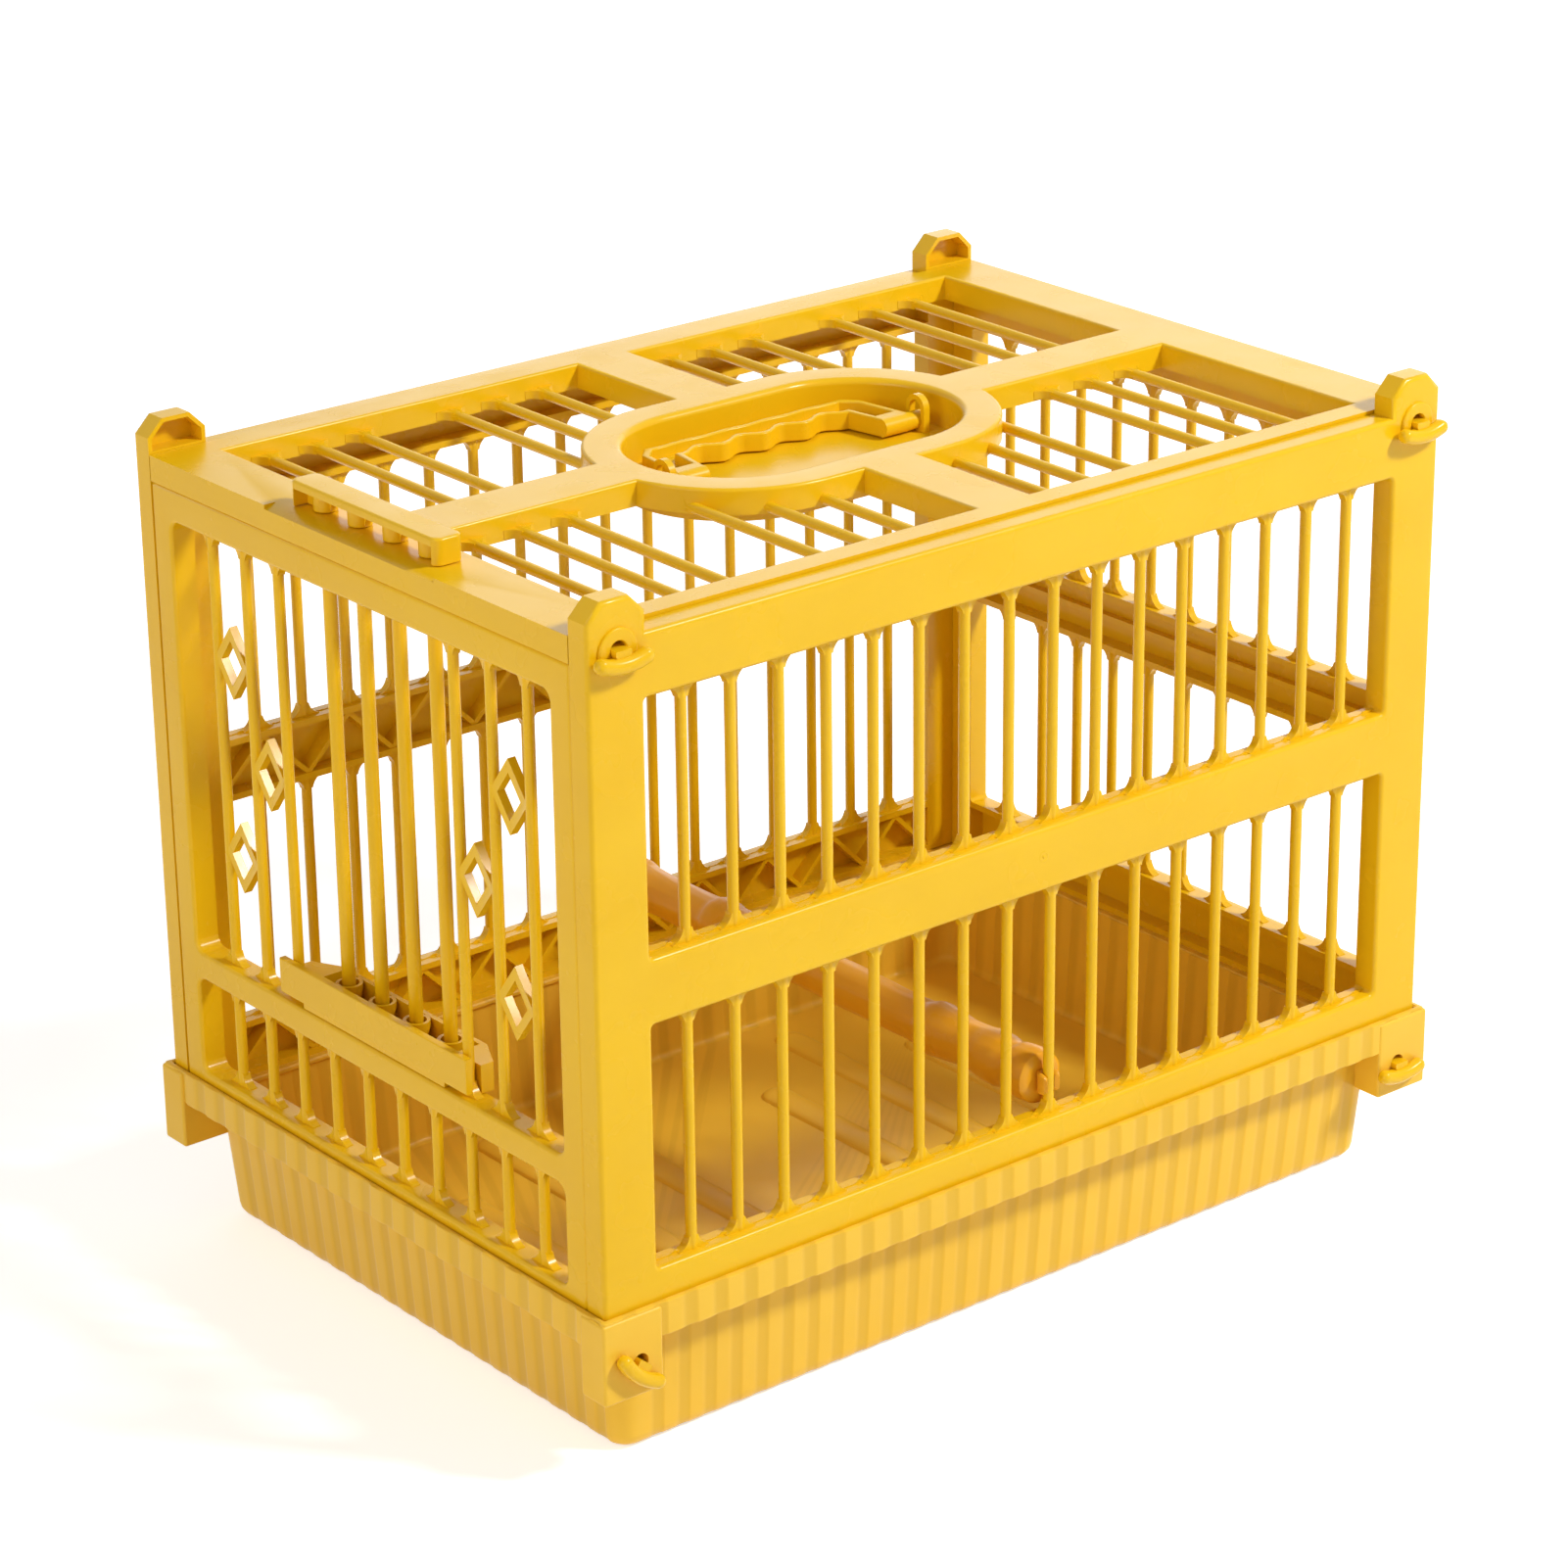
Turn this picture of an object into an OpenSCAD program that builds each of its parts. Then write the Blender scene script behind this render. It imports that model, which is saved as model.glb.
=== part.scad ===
// Travel carrier for small birds, moulded in plastic panels that pin together.
// Millimetres, +Z up, origin on the ground under the middle of the carrier.
// The gate end faces -X and the front long side faces -Y.

/* [Cage] */
// Length of the cage over its end panels
cage_len = 340; // [300:5:420]
// Depth of the cage over its long side panels
cage_dep = 234; // [210:2:300]
// Thickness of every panel, from its outer face to its inner lips
panel_t = 8.4; // [7.6:0.2:10]
// Thickness of the outer skin of a rail, over its hollow back
skin_t = 2.2; // [1.8:0.1:3]
// Width of the corner posts of the long side panels
post_w = 20; // [16:1:26]
// Width of the corner posts of the end panels
end_post_w = 10; // [8:0.5:14]
// Gap along the joints between two panels
joint_gap = 0.2; // [0.1:0.05:0.4]

/* [Long side panels] */
// Height of the bottom rail
side_rail_low = 19.5; // [16:0.5:26]
// Height of the lower window
side_win_low = 78.5; // [60:0.5:100]
// Height of the middle rail
side_rail_mid = 21; // [16:0.5:26]
// Height of the upper window
side_win_up = 80; // [60:0.5:100]
// Height of the top rail
side_rail_top = 20; // [17:0.5:26]
// Bars in each window of a long side
side_bars = 16; // [12:1:18]
// Rounding of the windows' corners in the long sides and the rear end
side_corner = 1.5; // [0.5:0.1:3]

/* [Corner ears] */
// Width of an ear
ear_w = 21; // [18:0.5:23]
// Height of an ear above its panel's top edge
ear_h = 12; // [10:0.5:14]
// Size of an ear's sloping corners
ear_chamfer = 5.5; // [3:0.5:6]
// Wall round the hollow back of an ear
ear_wall = 1.4; // [1.2:0.1:2.4]
// Height of that hollow's lower lip above the panel's top edge
ear_lip = 2; // [1.6:0.1:3]
// Distance from the cage's end to a pin's axis
pin_inset = 10.5; // [10:0.5:11]
// Height of the ring round each pin hole
ring_h = 1; // [0.8:0.1:1.6]
// Width of that ring, from the bore to its edge
ring_wall = 3.8; // [2.5:0.1:4.5]

/* [Bars] */
// Diameter of a round bar
bar_d = 3.5; // [3:0.1:4]
// Thickness of the webs at the ends of the bars
web_t = 2.8; // [2.4:0.1:3]
// Radius of the webs at the ends of the bars
flare_r = 5.4; // [4:0.2:6]
// Depth of the bars' middle behind a panel's outer face
bar_depth = 4.75; // [4.4:0.05:5]

/* [Gate end panel] */
// Height of the bottom rail
gate_rail_low = 12.5; // [11:0.5:16]
// Height of the low window
gate_win_low = 33.5; // [28:0.5:40]
// Height of the rail under the gate opening
gate_rail_mid = 9.5; // [8:0.5:12]
// Bars in each window of an end panel
end_bars = 10; // [8:2:10]
// Bars left out of the upper window for the gate
gate_gap_bars = 4; // [4]
// Half the height of a diamond ornament
diamond_h = 12; // [9:0.5:14]
// Thickness of a diamond's edge, measured along its width
diamond_edge = 3.4; // [2.8:0.2:4]
// Rounding of the windows' corners in the gate end
gate_corner = 3.8; // [1:0.2:5]

/* [Top panel] */
// Height of the top panel's surface above the long sides' top edge
top_rise = 1.2; // [0.6:0.1:2]
// Width of the top panel's end rails
top_end_w = 20.8; // [20:0.2:26]
// Width of the top panel's side rails
top_side_w = 9.5; // [8:0.5:12]
// Width of the spine and of the cross rib
top_rib_w = 21.6; // [18:0.2:26]
// Bars in each window of the top
top_bars = 7; // [5:1:8]
// Height of the bars' middle above the underside
top_bar_rise = 2; // [1.9:0.1:2.4]
// Outer radius of the round ends of the handle well
well_r = 47.5; // [45:0.5:50]
// Half the length of the handle well's straight middle
well_half = 24.5; // [22:0.5:28]
// Width of the rim of the handle well
well_rim = 12.9; // [10:0.1:14]
// Depth of the handle well
well_depth = 12; // [11:0.2:14]
// Thickness of the handle well's floor
well_floor = 2; // [1.6:0.2:3]

/* [Handle] */
// Half the length of the handle over its arms, at the pivots
handle_half = 47; // [45:0.5:48]
// How much each arm leans in from its pivot to the grip
arm_lean = 2.4; // [0:0.2:4]
// Width of an arm
arm_w = 11; // [9:0.5:12]
// Height of the handle's section
handle_h = 6.2; // [5.6:0.2:6.4]
// Distance from the pivot axis to the back of the grip
grip_back = 25; // [23:0.5:28]
// Width of the grip between its finger hollows
grip_w = 10; // [8.5:0.5:11]
// Depth of the finger hollows
finger_wave = 3.6; // [1.5:0.1:4]
// Finger hollows along the grip
finger_count = 4; // [3:1:5]
// Depth of the shallow waves along the back of the grip
back_wave = 1.2; // [0:0.1:1.6]
// Wall thickness round the groove in the handle
groove_wall = 1.9; // [1.6:0.1:2.2]
// Depth of that groove
groove_depth = 3.4; // [2:0.2:4]
// Height of the gap under the folded handle
handle_lift = 0.5; // [0.3:0.1:1]
// Diameter of a pivot stub
stub_d = 6; // [5.4:0.1:6.2]
// Radial clearance of a stub in its bearing
stub_clear = 0.08; // [0.04:0.01:0.1]
// Length of a stub past the face of its bearing
stub_len = 3; // [2.6:0.1:4]
// Gap between an arm and its bearing
arm_gap = 3.4; // [2:0.2:4]
// Width of a bearing's arch
bearing_w = 9; // [8.6:0.1:10]
// Thickness of a bearing's arch
bearing_t = 2.4; // [2:0.1:3.4]

/* [Lift gate] */
// Diameter of a gate rod
rod_d = 4.4; // [4:0.1:4.6]
// Depth of the rods' middle behind the gate end's outer face
rod_depth = 11.2; // [11.1:0.1:12]
// Clearance round a sliding rod
slide_clear = 0.3; // [0.25:0.05:0.4]
// Width of the pull bar along X
pull_w = 10.4; // [9.5:0.1:11]
// Height of the pull bar
pull_h = 8.4; // [8:0.2:12]
// Length of the pull bar
pull_len = 76; // [72:1:80]
// Rounding of the pull bar's corners
pull_round = 3; // [1:0.5:4]
// Height of the sill's front plate
sill_h = 11.6; // [9:0.2:13]
// Height of that plate's lower edge above the rail
sill_lift = 1.8; // [0:0.2:3]
// Length of the sill's front plate
sill_len = 100; // [98:1:106]
// Thickness of the sill's front plate
sill_t = 2.4; // [2:0.1:2.5]
// Outer diameter of a rod cup
cup_d = 8.6; // [7.6:0.2:9]
// Height of a rod cup
cup_h = 9.4; // [8:0.2:11]
// Depth of the seat of a rod in its cup
cup_seat = 4; // [3:0.5:5]
// Wall thickness of the sill's trough
trough_wall = 1.6; // [1.2:0.1:2]
// Length of the finger scoop in the top panel, beside the pull bar
scoop_len = 88; // [80:2:100]
// Depth of that scoop at the panel's edge
scoop_depth = 1.4; // [1:0.2:3]

/* [Tray] */
// Height of the tray under its rim
tub_h = 43.4; // [34:0.2:55]
// Thickness of the ledge that the panels stand on
ledge_t = 2; // [1.6:0.1:3]
// Height of the upright rim
rim_h = 11.5; // [9:0.5:14]
// Thickness of the upright rim
rim_t = 2.8; // [2.2:0.1:3.4]
// Distance from the cage's long faces to the tub's wall, at the ledge
tub_inset_side = 7.2; // [7:0.2:10]
// Distance from the cage's end faces to the tub's wall, at the ledge
tub_inset_end = 9; // [7:0.2:12]
// How much the tub's walls lean in down to the floor
tub_draft = 3.4; // [1:0.2:6]
// Thickness of the tub's wall and floor
tub_wall = 2.2; // [1.8:0.1:3]
// Radius of the tub's upright corners
tub_corner = 8.5; // [8:0.5:12]
// Radius of the tub's bottom edge
tub_edge = 5; // [3:0.5:7]
// Raised ribs on each half of the floor, by turns short and long
floor_ribs = 3; // [1:1:4]
// Distance between the middles of two floor ribs
floor_rib_step = 32.8; // [26:0.2:34]
// Width of a floor rib
floor_rib_w = 11.6; // [8:0.2:18]
// Height of a floor rib
floor_rib_h = 2; // [1:0.1:2.4]
// Distance from a long floor rib's end to the tub's wall
floor_rib_gap = 13; // [8:0.5:30]
// How much shorter a short floor rib is at each end
floor_rib_cut = 33; // [10:1:40]

/* [Corner legs] */
// Width of a corner leg, from the rim's outer face
leg_w = 22; // [20:0.5:24]
// Height of a corner leg under the rim
leg_h = 16; // [14:0.5:20]
// Wall thickness of a corner leg
leg_wall = 2.6; // [2.2:0.1:3]
// Height of a pin's axis above the foot of the leg
leg_pin_rise = 11; // [9:0.5:12]
// Thickness of the tab of a long side panel that stands in a leg
tab_t = 6; // [5:0.2:6.4]

/* [Lock pins] */
// Diameter of a pin's shaft
pin_d = 5.6; // [5:0.1:6]
// Radial clearance of a pin in its bores
pin_clear = 0.06; // [0.03:0.01:0.1]
// Length of a pin's cross bar
pin_bar_len = 20; // [18:0.5:24]
// Height of a pin's cross bar
pin_bar_h = 4.6; // [4:0.1:5]
// Thickness of a pin's cross bar
pin_bar_t = 4.2; // [3.5:0.1:5]
// Distance of the cross bar's middle below the pin's axis
pin_bar_drop = 3.8; // [2.6:0.1:4]
// How much the cross bar sags between its ends
pin_bar_sag = 1.4; // [1:0.1:3]
// Reach of an upper pin into the top panel
pin_reach = 9; // [6:0.5:10]
// Tilt of the lower front pin at the gate end
pin_tilt = 40; // [0:5:60]
// Tilt of the upper back pin at the gate end
pin_tilt_back = 55; // [0:5:60]

/* [Perch] */
// Diameter of the perch between its knots
perch_d = 15.5; // [12:0.5:18]
// Height of the perch's middle above the sill of the lower window
perch_rise = 10; // [9.8:0.2:20]
// Which bar of the long sides carries the perch, counted from the gate end
perch_bar = 9; // [5:1:12]
// Height of a knot above the perch's surface
knot_h = 1.7; // [0.8:0.1:2.4]
// Length of a clip that grips a bar
clip_h = 7; // [5:0.5:8]
// Clearance of a clip on its bar
clip_clear = 0.1; // [0.05:0.05:0.2]
// Wall thickness of a clip
clip_wall = 1.8; // [1.4:0.1:2.2]

/* [Hidden] */

$fn = 48;
// how far a cutting or joining solid runs past the face that it meets
over = 1;
// gap between two pieces that move past each other face to face
move_gap = 0.3;
half_len = cage_len / 2;
half_dep = cage_dep / 2;

// heights of the panels
seat_z = tub_h + ledge_t;
side_h = side_rail_low + side_win_low + side_rail_mid + side_win_up + side_rail_top;
side_top = seat_z + side_h;
top_z = side_top + top_rise;
top_under = top_z - panel_t;
side_low_z = seat_z + side_rail_low;
side_mid_z = side_low_z + side_win_low;
side_up_z = side_mid_z + side_rail_mid;
side_up_end = side_up_z + side_win_up;

// the end panels stand between the long sides, under the top panel
end_w = cage_dep - 2 * panel_t - 2 * joint_gap;
end_h = top_under - joint_gap - seat_z;
end_win_w = end_w - 2 * end_post_w;
gate_low_z = gate_rail_low;
gate_mid_z = gate_low_z + gate_win_low;
gate_up_z = gate_mid_z + gate_rail_mid;
gate_rail_top = 10.6;
gate_win_up = end_h - gate_rail_top - gate_up_z;
end_pitch = (end_win_w + bar_d) / (end_bars + 1);

// tongues on the end panels run in grooves of the long sides
tongue_t = 3;
tongue_depth = 2;
tongue_clear = 0.15;

// long side windows
side_win_w = cage_len - 2 * post_w;
side_pitch = (side_win_w + bar_d) / (side_bars + 1);

// locking pins
pin_top_z = top_under + panel_t / 2;
pin_leg_z = tub_h - leg_h + leg_pin_rise;
pin_bore_d = pin_d + 2 * pin_clear;
ring_d = pin_bore_d + 2 * ring_wall;
tab_clear = 0.2;
perch_z = side_low_z + perch_rise;
bar_back = bar_depth + bar_d / 2;
rim_out = rim_t + joint_gap;

// top panel windows
top_w = cage_dep - 2 * panel_t - 2 * joint_gap;
top_win_x = (cage_len - 2 * top_end_w - top_rib_w) / 2;
top_win_y = (top_w - 2 * top_side_w - top_rib_w) / 2;
top_bar_depth = panel_t - top_bar_rise;
well_floor_z = top_z - well_depth;
well_inner_r = well_r - well_rim;

// handle
handle_z = well_floor_z + handle_lift;
pivot_z = handle_z + handle_h / 2;
bearing_x = handle_half + arm_gap;
grip_half = handle_half - arm_lean - arm_w;
finger_pitch = 2 * grip_half / finger_count;

// gate
rod_x = -half_len + rod_depth;
rod_rows = [-1.5, -0.5, 0.5, 1.5];
sill_z = seat_z + gate_up_z + move_gap;
cup_floor = 1.6;
cup_lip = 1;
rod_bottom = sill_z + cup_floor;
pull_z = top_z + move_gap;
rod_top = pull_z + pull_h - 2;
stub_wall = 1.6;

// the tub at the ledge
tub_x = half_len - tub_inset_end;
tub_y = half_dep - tub_inset_side;

plastic = "#F0C22E";

// One round bar with a web at both ends; it stands on the plane z = 0 and is h tall.
module bar(h, depth) {
    translate([0, depth, -over]) cylinder(d = bar_d, h = h + 2 * over);
    for (end = [0, 1])
        translate([0, depth, end * h]) mirror([0, 0, end]) web();
}

// The web flares from the bar to the rail in a hollow curve on each side.
module web() {
    half_w = bar_d / 2 - 0.2;
    reach = 0.75 * flare_r;
    web_h = 0.8 * flare_r;
    difference() {
        translate([-half_w - reach, -web_t / 2, -over])
            cube([2 * (half_w + reach), web_t, web_h + over]);
        for (s = [-1, 1])
            translate([s * (half_w + flare_r), 0, flare_r]) rotate([90, 0, 0])
                cylinder(r = flare_r, h = 2 * web_t, center = true);
    }
}

// A row of bars across a window of width w and height h, from x = 0.
// skip is how many are left out in the middle.
module bars(w, h, count, depth, skip = 0) {
    pitch = (w + bar_d) / (count + 1);
    for (i = [1 : count])
        if (abs(i - (count + 1) / 2) > skip / 2)
            translate([i * pitch - bar_d / 2, 0, 0]) bar(h, depth);
}

// A window to cut through a panel, from x = 0 and z = 0.
module window(w, h, corner) {
    translate([w / 2, panel_t + over, h / 2]) rotate([90, 0, 0])
        linear_extrude(panel_t + 2 * over) round_outline(w, h, corner);
}

// A hollow in the back of a rail, w long and h high.
module rail_hollow(w, h, floor_t = skin_t) {
    translate([0, floor_t, 0]) cube([w, panel_t, h]);
}

// Zigzag ribs in a hollow of that size.
module truss(w, h) {
    rib_t = 1.6;
    rib_end = 0.4;
    count = max(2, round(w / h));
    step = w / count;
    run = sqrt(step * step + h * h);
    tilt = atan2(h, step);
    for (i = [0 : count - 1])
        translate([(i + 0.5) * step, 0, h / 2]) rotate([0, (i % 2 == 0 ? -1 : 1) * tilt, 0])
            translate([-run / 2 - rib_end, skin_t - rib_end, -rib_t / 2])
                cube([run + 2 * rib_end, panel_t - skin_t - 0.2, rib_t]);
}

// Outline of an ear, standing on the line y = 0.
module ear_outline(w, h, chamfer) {
    polygon([[0, 0], [w, 0], [w, h - chamfer], [w - chamfer, h], [chamfer, h], [0, h - chamfer]]);
}

// The ear is a shell, open to the inside of the carrier over a low lip.
module ear() {
    foot = 1.4;
    hollow_w = ear_w - 2 * ear_wall;
    hollow_h = ear_h - ear_wall - ear_lip;
    hollow_chamfer = ear_chamfer - (2 - sqrt(2)) * ear_wall;
    difference() {
        translate([0, panel_t, -foot]) rotate([90, 0, 0]) linear_extrude(panel_t)
            ear_outline(ear_w, ear_h + foot, ear_chamfer);
        translate([ear_wall, panel_t + over, ear_lip]) rotate([90, 0, 0])
            linear_extrude(panel_t + over - skin_t)
                ear_outline(hollow_w, hollow_h, hollow_chamfer);
    }
}

// Long side panel: the front one, outer face at -Y.
module long_side() {
    groove_w = tongue_t + 2 * tongue_clear;
    groove_in = tongue_depth + tongue_clear;
    tab_w = leg_w - rim_out - leg_wall - 2 * tab_clear - 0.4;
    tab_h = leg_h - 2;
    lip = skin_t;
    translate([-half_len, -half_dep, 0]) {
        difference() {
            union() {
                difference() {
                    translate([0, 0, seat_z]) cube([cage_len, panel_t, side_h]);
                    for (w = [[side_low_z, side_win_low], [side_up_z, side_win_up]])
                        translate([post_w, 0, w[0]]) window(side_win_w, w[1], side_corner);
                    translate([post_w, 0, seat_z + lip])
                        rail_hollow(side_win_w, side_rail_low - 2 * lip);
                    translate([post_w, 0, side_mid_z + lip])
                        rail_hollow(side_win_w, side_rail_mid - 2 * lip);
                    translate([post_w, 0, side_up_end + lip])
                        rail_hollow(side_win_w, top_under - side_up_end - 1.4 * lip);
                }
                translate([post_w, 0, seat_z + lip]) truss(side_win_w, side_rail_low - 2 * lip);
                translate([post_w, 0, side_mid_z + lip]) truss(side_win_w, side_rail_mid - 2 * lip);
                translate([post_w, 0, side_low_z]) bars(side_win_w, side_win_low, side_bars, bar_depth);
                translate([post_w, 0, side_up_z]) bars(side_win_w, side_win_up, side_bars, bar_depth);
                for (end = [0, 1])
                    translate([end * cage_len, 0, 0]) mirror([end, 0, 0]) {
                        translate([0, 0, side_top]) ear();
                        translate([pin_inset, 0, pin_top_z]) rotate([90, 0, 0])
                            cylinder(d = ring_d, h = ring_h);
                        // tab that goes down into the corner leg
                        translate([tab_clear, 0, seat_z - tab_h]) cube([tab_w, tab_t, tab_h + over]);
                    }
            }
            for (end = [0, 1])
                translate([end * cage_len, 0, 0]) mirror([end, 0, 0]) {
                    for (z = [pin_leg_z, pin_top_z])
                        translate([pin_inset, -over - ring_h, z]) rotate([-90, 0, 0])
                            cylinder(d = pin_bore_d, h = panel_t + ring_h + 2 * over);
                    // groove for the end panel's tongue
                    translate([(panel_t - groove_w) / 2, panel_t - groove_in, seat_z - over])
                        cube([groove_w, groove_in + over, top_under - seat_z + over]);
                }
        }
    }
}

module side_panel_front() {
    color(plastic) long_side();
}

module side_panel_back() {
    color(plastic) rotate([0, 0, 180]) long_side();
}

// Blank of an end panel in its own plane: x across, y inwards, z up from the ledge.
module end_blank() {
    translate([-end_w / 2, 0, 0]) cube([end_w, panel_t, end_h]);
    for (s = [-1, 1])
        translate([s * (end_w + tongue_depth) / 2, panel_t / 2, end_h / 2])
            cube([tongue_depth, tongue_t, end_h], center = true);
}

// An open diamond between two bars.
module diamond() {
    half_w = end_pitch / 2;
    inner_w = half_w - diamond_edge;
    inner_h = diamond_h * inner_w / half_w;
    translate([0, web_t / 2, 0]) rotate([90, 0, 0]) linear_extrude(web_t) difference() {
        polygon([[-half_w, 0], [0, -diamond_h], [half_w, 0], [0, diamond_h]]);
        polygon([[-inner_w, 0], [0, -inner_h], [inner_w, 0], [0, inner_h]]);
    }
}

// Gate end panel: three fixed bars with diamonds on each side of the gate opening, over a low
// barred window.
module gate_end_panel() {
    color(plastic) translate([-half_len, 0, seat_z]) rotate([0, 0, -90]) {
        difference() {
            end_blank();
            for (w = [[gate_low_z, gate_win_low], [gate_up_z, gate_win_up]])
                translate([-end_win_w / 2, 0, w[0]]) window(end_win_w, w[1], gate_corner);
            translate([-end_win_w / 2, 0, gate_mid_z + skin_t])
                rail_hollow(end_win_w, gate_rail_mid - 2 * skin_t);
        }
        translate([-end_win_w / 2, 0, gate_low_z]) bars(end_win_w, gate_win_low, end_bars, bar_depth);
        translate([-end_win_w / 2, 0, gate_up_z])
            bars(end_win_w, gate_win_up, end_bars, bar_depth, skip = gate_gap_bars);
        // outer gap: one diamond high and one low; inner gap: one between them
        outer_gap = end_bars / 2 - 1;
        inner_gap = outer_gap - 1;
        for (side = [-1, 1])
            for (spot = [[outer_gap, 0.72], [inner_gap, 0.5], [outer_gap, 0.27]])
                translate([side * spot[0] * end_pitch, bar_depth, gate_up_z + spot[1] * gate_win_up])
                    diamond();
    }
}

// Rear end panel: two barred windows level with those of the long sides.
module rear_end_panel() {
    low_z = side_low_z - seat_z;
    mid_z = side_mid_z - seat_z;
    up_z = side_up_z - seat_z;
    mid_h = side_rail_mid - 2 * skin_t;
    lip_t = 2;
    lip_h = 3;
    color(plastic) translate([half_len, 0, seat_z]) rotate([0, 0, 90]) {
        difference() {
            end_blank();
            for (w = [[low_z, side_win_low], [up_z, side_win_up]])
                translate([-end_win_w / 2, 0, w[0]]) window(end_win_w, w[1], side_corner);
            translate([-end_win_w / 2, 0, skin_t])
                rail_hollow(end_win_w, side_rail_low - 2 * skin_t);
            translate([-end_win_w / 2, 0, mid_z + skin_t]) rail_hollow(end_win_w, mid_h);
        }
        // a lip along the middle of the hollow rail
        translate([-end_win_w / 2 - over, skin_t - over, mid_z + side_rail_mid / 2 - lip_t / 2])
            cube([end_win_w + 2 * over, lip_h + over, lip_t]);
        translate([-end_win_w / 2, 0, low_z]) bars(end_win_w, side_win_low, end_bars, bar_depth);
        translate([-end_win_w / 2, 0, up_z]) bars(end_win_w, side_win_up, end_bars, bar_depth);
    }
}

// A slab with round ends: radius r, straight part from -half to half, standing on z = 0.
module round_slab(r, half, h) {
    for (s = [-1, 1])
        translate([s * half, 0, 0]) cylinder(r = r, h = h, $fn = 96);
    translate([-half, -r, 0]) cube([2 * half, 2 * r, h]);
}

// Bearing for a pivot stub: a thin arch that stands across the well's floor.
module bearing_arch() {
    arch_z = top_z - bearing_w / 2;
    translate([bearing_x, -bearing_w / 2, well_floor_z - over])
        cube([bearing_t, bearing_w, arch_z - well_floor_z + over]);
    translate([bearing_x, 0, arch_z]) rotate([0, 90, 0]) cylinder(d = bearing_w, h = bearing_t);
}

// The bore has a slot above it, in which the arch can spring open.
module bearing_bore() {
    through = bearing_t + 2 * over;
    slot_w = 0.9 * stub_d;
    slot_h = top_z - (bearing_w - slot_w) / 2 - pivot_z - slot_w / 2;
    translate([bearing_x - over, 0, pivot_z]) {
        rotate([0, 90, 0]) cylinder(d = stub_d + 2 * stub_clear, h = through);
        translate([0, -slot_w / 2, 0]) cube([through, slot_w, slot_h]);
        translate([0, 0, slot_h]) rotate([0, 90, 0]) cylinder(d = slot_w, h = through);
    }
}

// A hollow w by l and h deep, centred, cut up into the underside of the top panel.
module under_hollow(w, l, h) {
    translate([-w / 2, -l / 2, -over]) cube([w, l, h + over]);
}

// Top panel: a frame with a spine and a cross rib, four barred windows and the well of the handle.
module top_panel() {
    hollow_h = panel_t - skin_t;
    rib_hollow = top_rib_w - 2 * skin_t;
    side_hollow = top_side_w - 2 * skin_t;
    boss_len = pin_inset + ring_d / 2;
    tub_r = well_inner_r + well_floor;
    mid_x = (top_rib_w + top_win_x) / 2;
    mid_y = (top_rib_w + top_win_y) / 2;
    scoop_w = rod_depth - pull_w / 2 - 1.6;
    color(plastic) difference() {
        union() {
            difference() {
                union() {
                    difference() {
                        translate([-half_len, -top_w / 2, top_under]) cube([cage_len, top_w, panel_t]);
                        for (sx = [-1, 1])
                            for (sy = [-1, 1])
                                translate([sx * mid_x, sy * mid_y, top_z])
                                    cube([top_win_x, top_win_y, 4 * panel_t], center = true);
                    }
                    translate([0, 0, top_under]) round_slab(well_r, well_half, panel_t);
                }
                // hollows under the side rails, the spine, the cross rib and the rim of the well
                for (s = [-1, 1]) {
                    translate([0, s * (top_w - top_side_w) / 2, top_under])
                        under_hollow(cage_len - 2 * boss_len, side_hollow, hollow_h);
                    translate([s * mid_x, 0, top_under]) under_hollow(top_win_x, rib_hollow, hollow_h);
                    translate([0, s * mid_y, top_under]) under_hollow(rib_hollow, top_win_y, hollow_h);
                }
                translate([0, 0, top_under - over])
                    round_slab(well_r - skin_t, well_half, hollow_h + over);
            }
            for (sx = [0, 1])
                for (sy = [0, 1])
                    mirror([0, sy, 0]) mirror([sx, 0, 0]) difference() {
                        translate([top_rib_w / 2, top_rib_w / 2, top_z]) rotate([-90, 0, 0])
                            bars(top_win_x, top_win_y, top_bars, top_bar_depth);
                        translate([0, 0, top_under - panel_t])
                            round_slab(well_r - over, well_half, 2 * panel_t);
                    }
            // the deep part of the well
            translate([0, 0, well_floor_z - well_floor])
                round_slab(tub_r, well_half, well_depth + well_floor - skin_t / 2);
        }
        difference() {
            translate([0, 0, well_floor_z]) round_slab(well_inner_r, well_half, well_depth + over);
            for (s = [0, 1])
                mirror([s, 0, 0]) difference() {
                    bearing_arch();
                    bearing_bore();
                }
        }
        // guide holes for the gate rods
        for (row = rod_rows)
            translate([rod_x, row * end_pitch, top_under - over])
                cylinder(d = rod_d + 2 * slide_clear, h = panel_t + 2 * over);
        // sloping finger scoop beside the pull bar
        translate([-half_len + scoop_w, 0, top_z]) rotate([0, -atan2(scoop_depth, scoop_w), 0])
            translate([-2 * scoop_w, -scoop_len / 2, 0]) cube([2 * scoop_w, scoop_len, panel_t]);
        // blind bores for the upper lock pins
        for (sx = [-1, 1])
            for (sy = [-1, 1])
                translate([sx * (half_len - pin_inset), sy * top_w / 2, pin_top_z]) rotate([sy * 90, 0, 0])
                    translate([0, 0, -over]) cylinder(d = pin_bore_d, h = pin_reach + 1.5 + over);
    }
}

// Waves along the grip: 0 at a swell and 1 in a hollow.
function wave(x) = 0.5 - 0.5 * cos(360 * (x + grip_half) / finger_pitch);
function front_point(x, y) = [x, y + finger_wave * (wave(x) - 0.5)];
function back_point(x, y) = [x, y + back_wave * wave(x) / 2];

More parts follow.
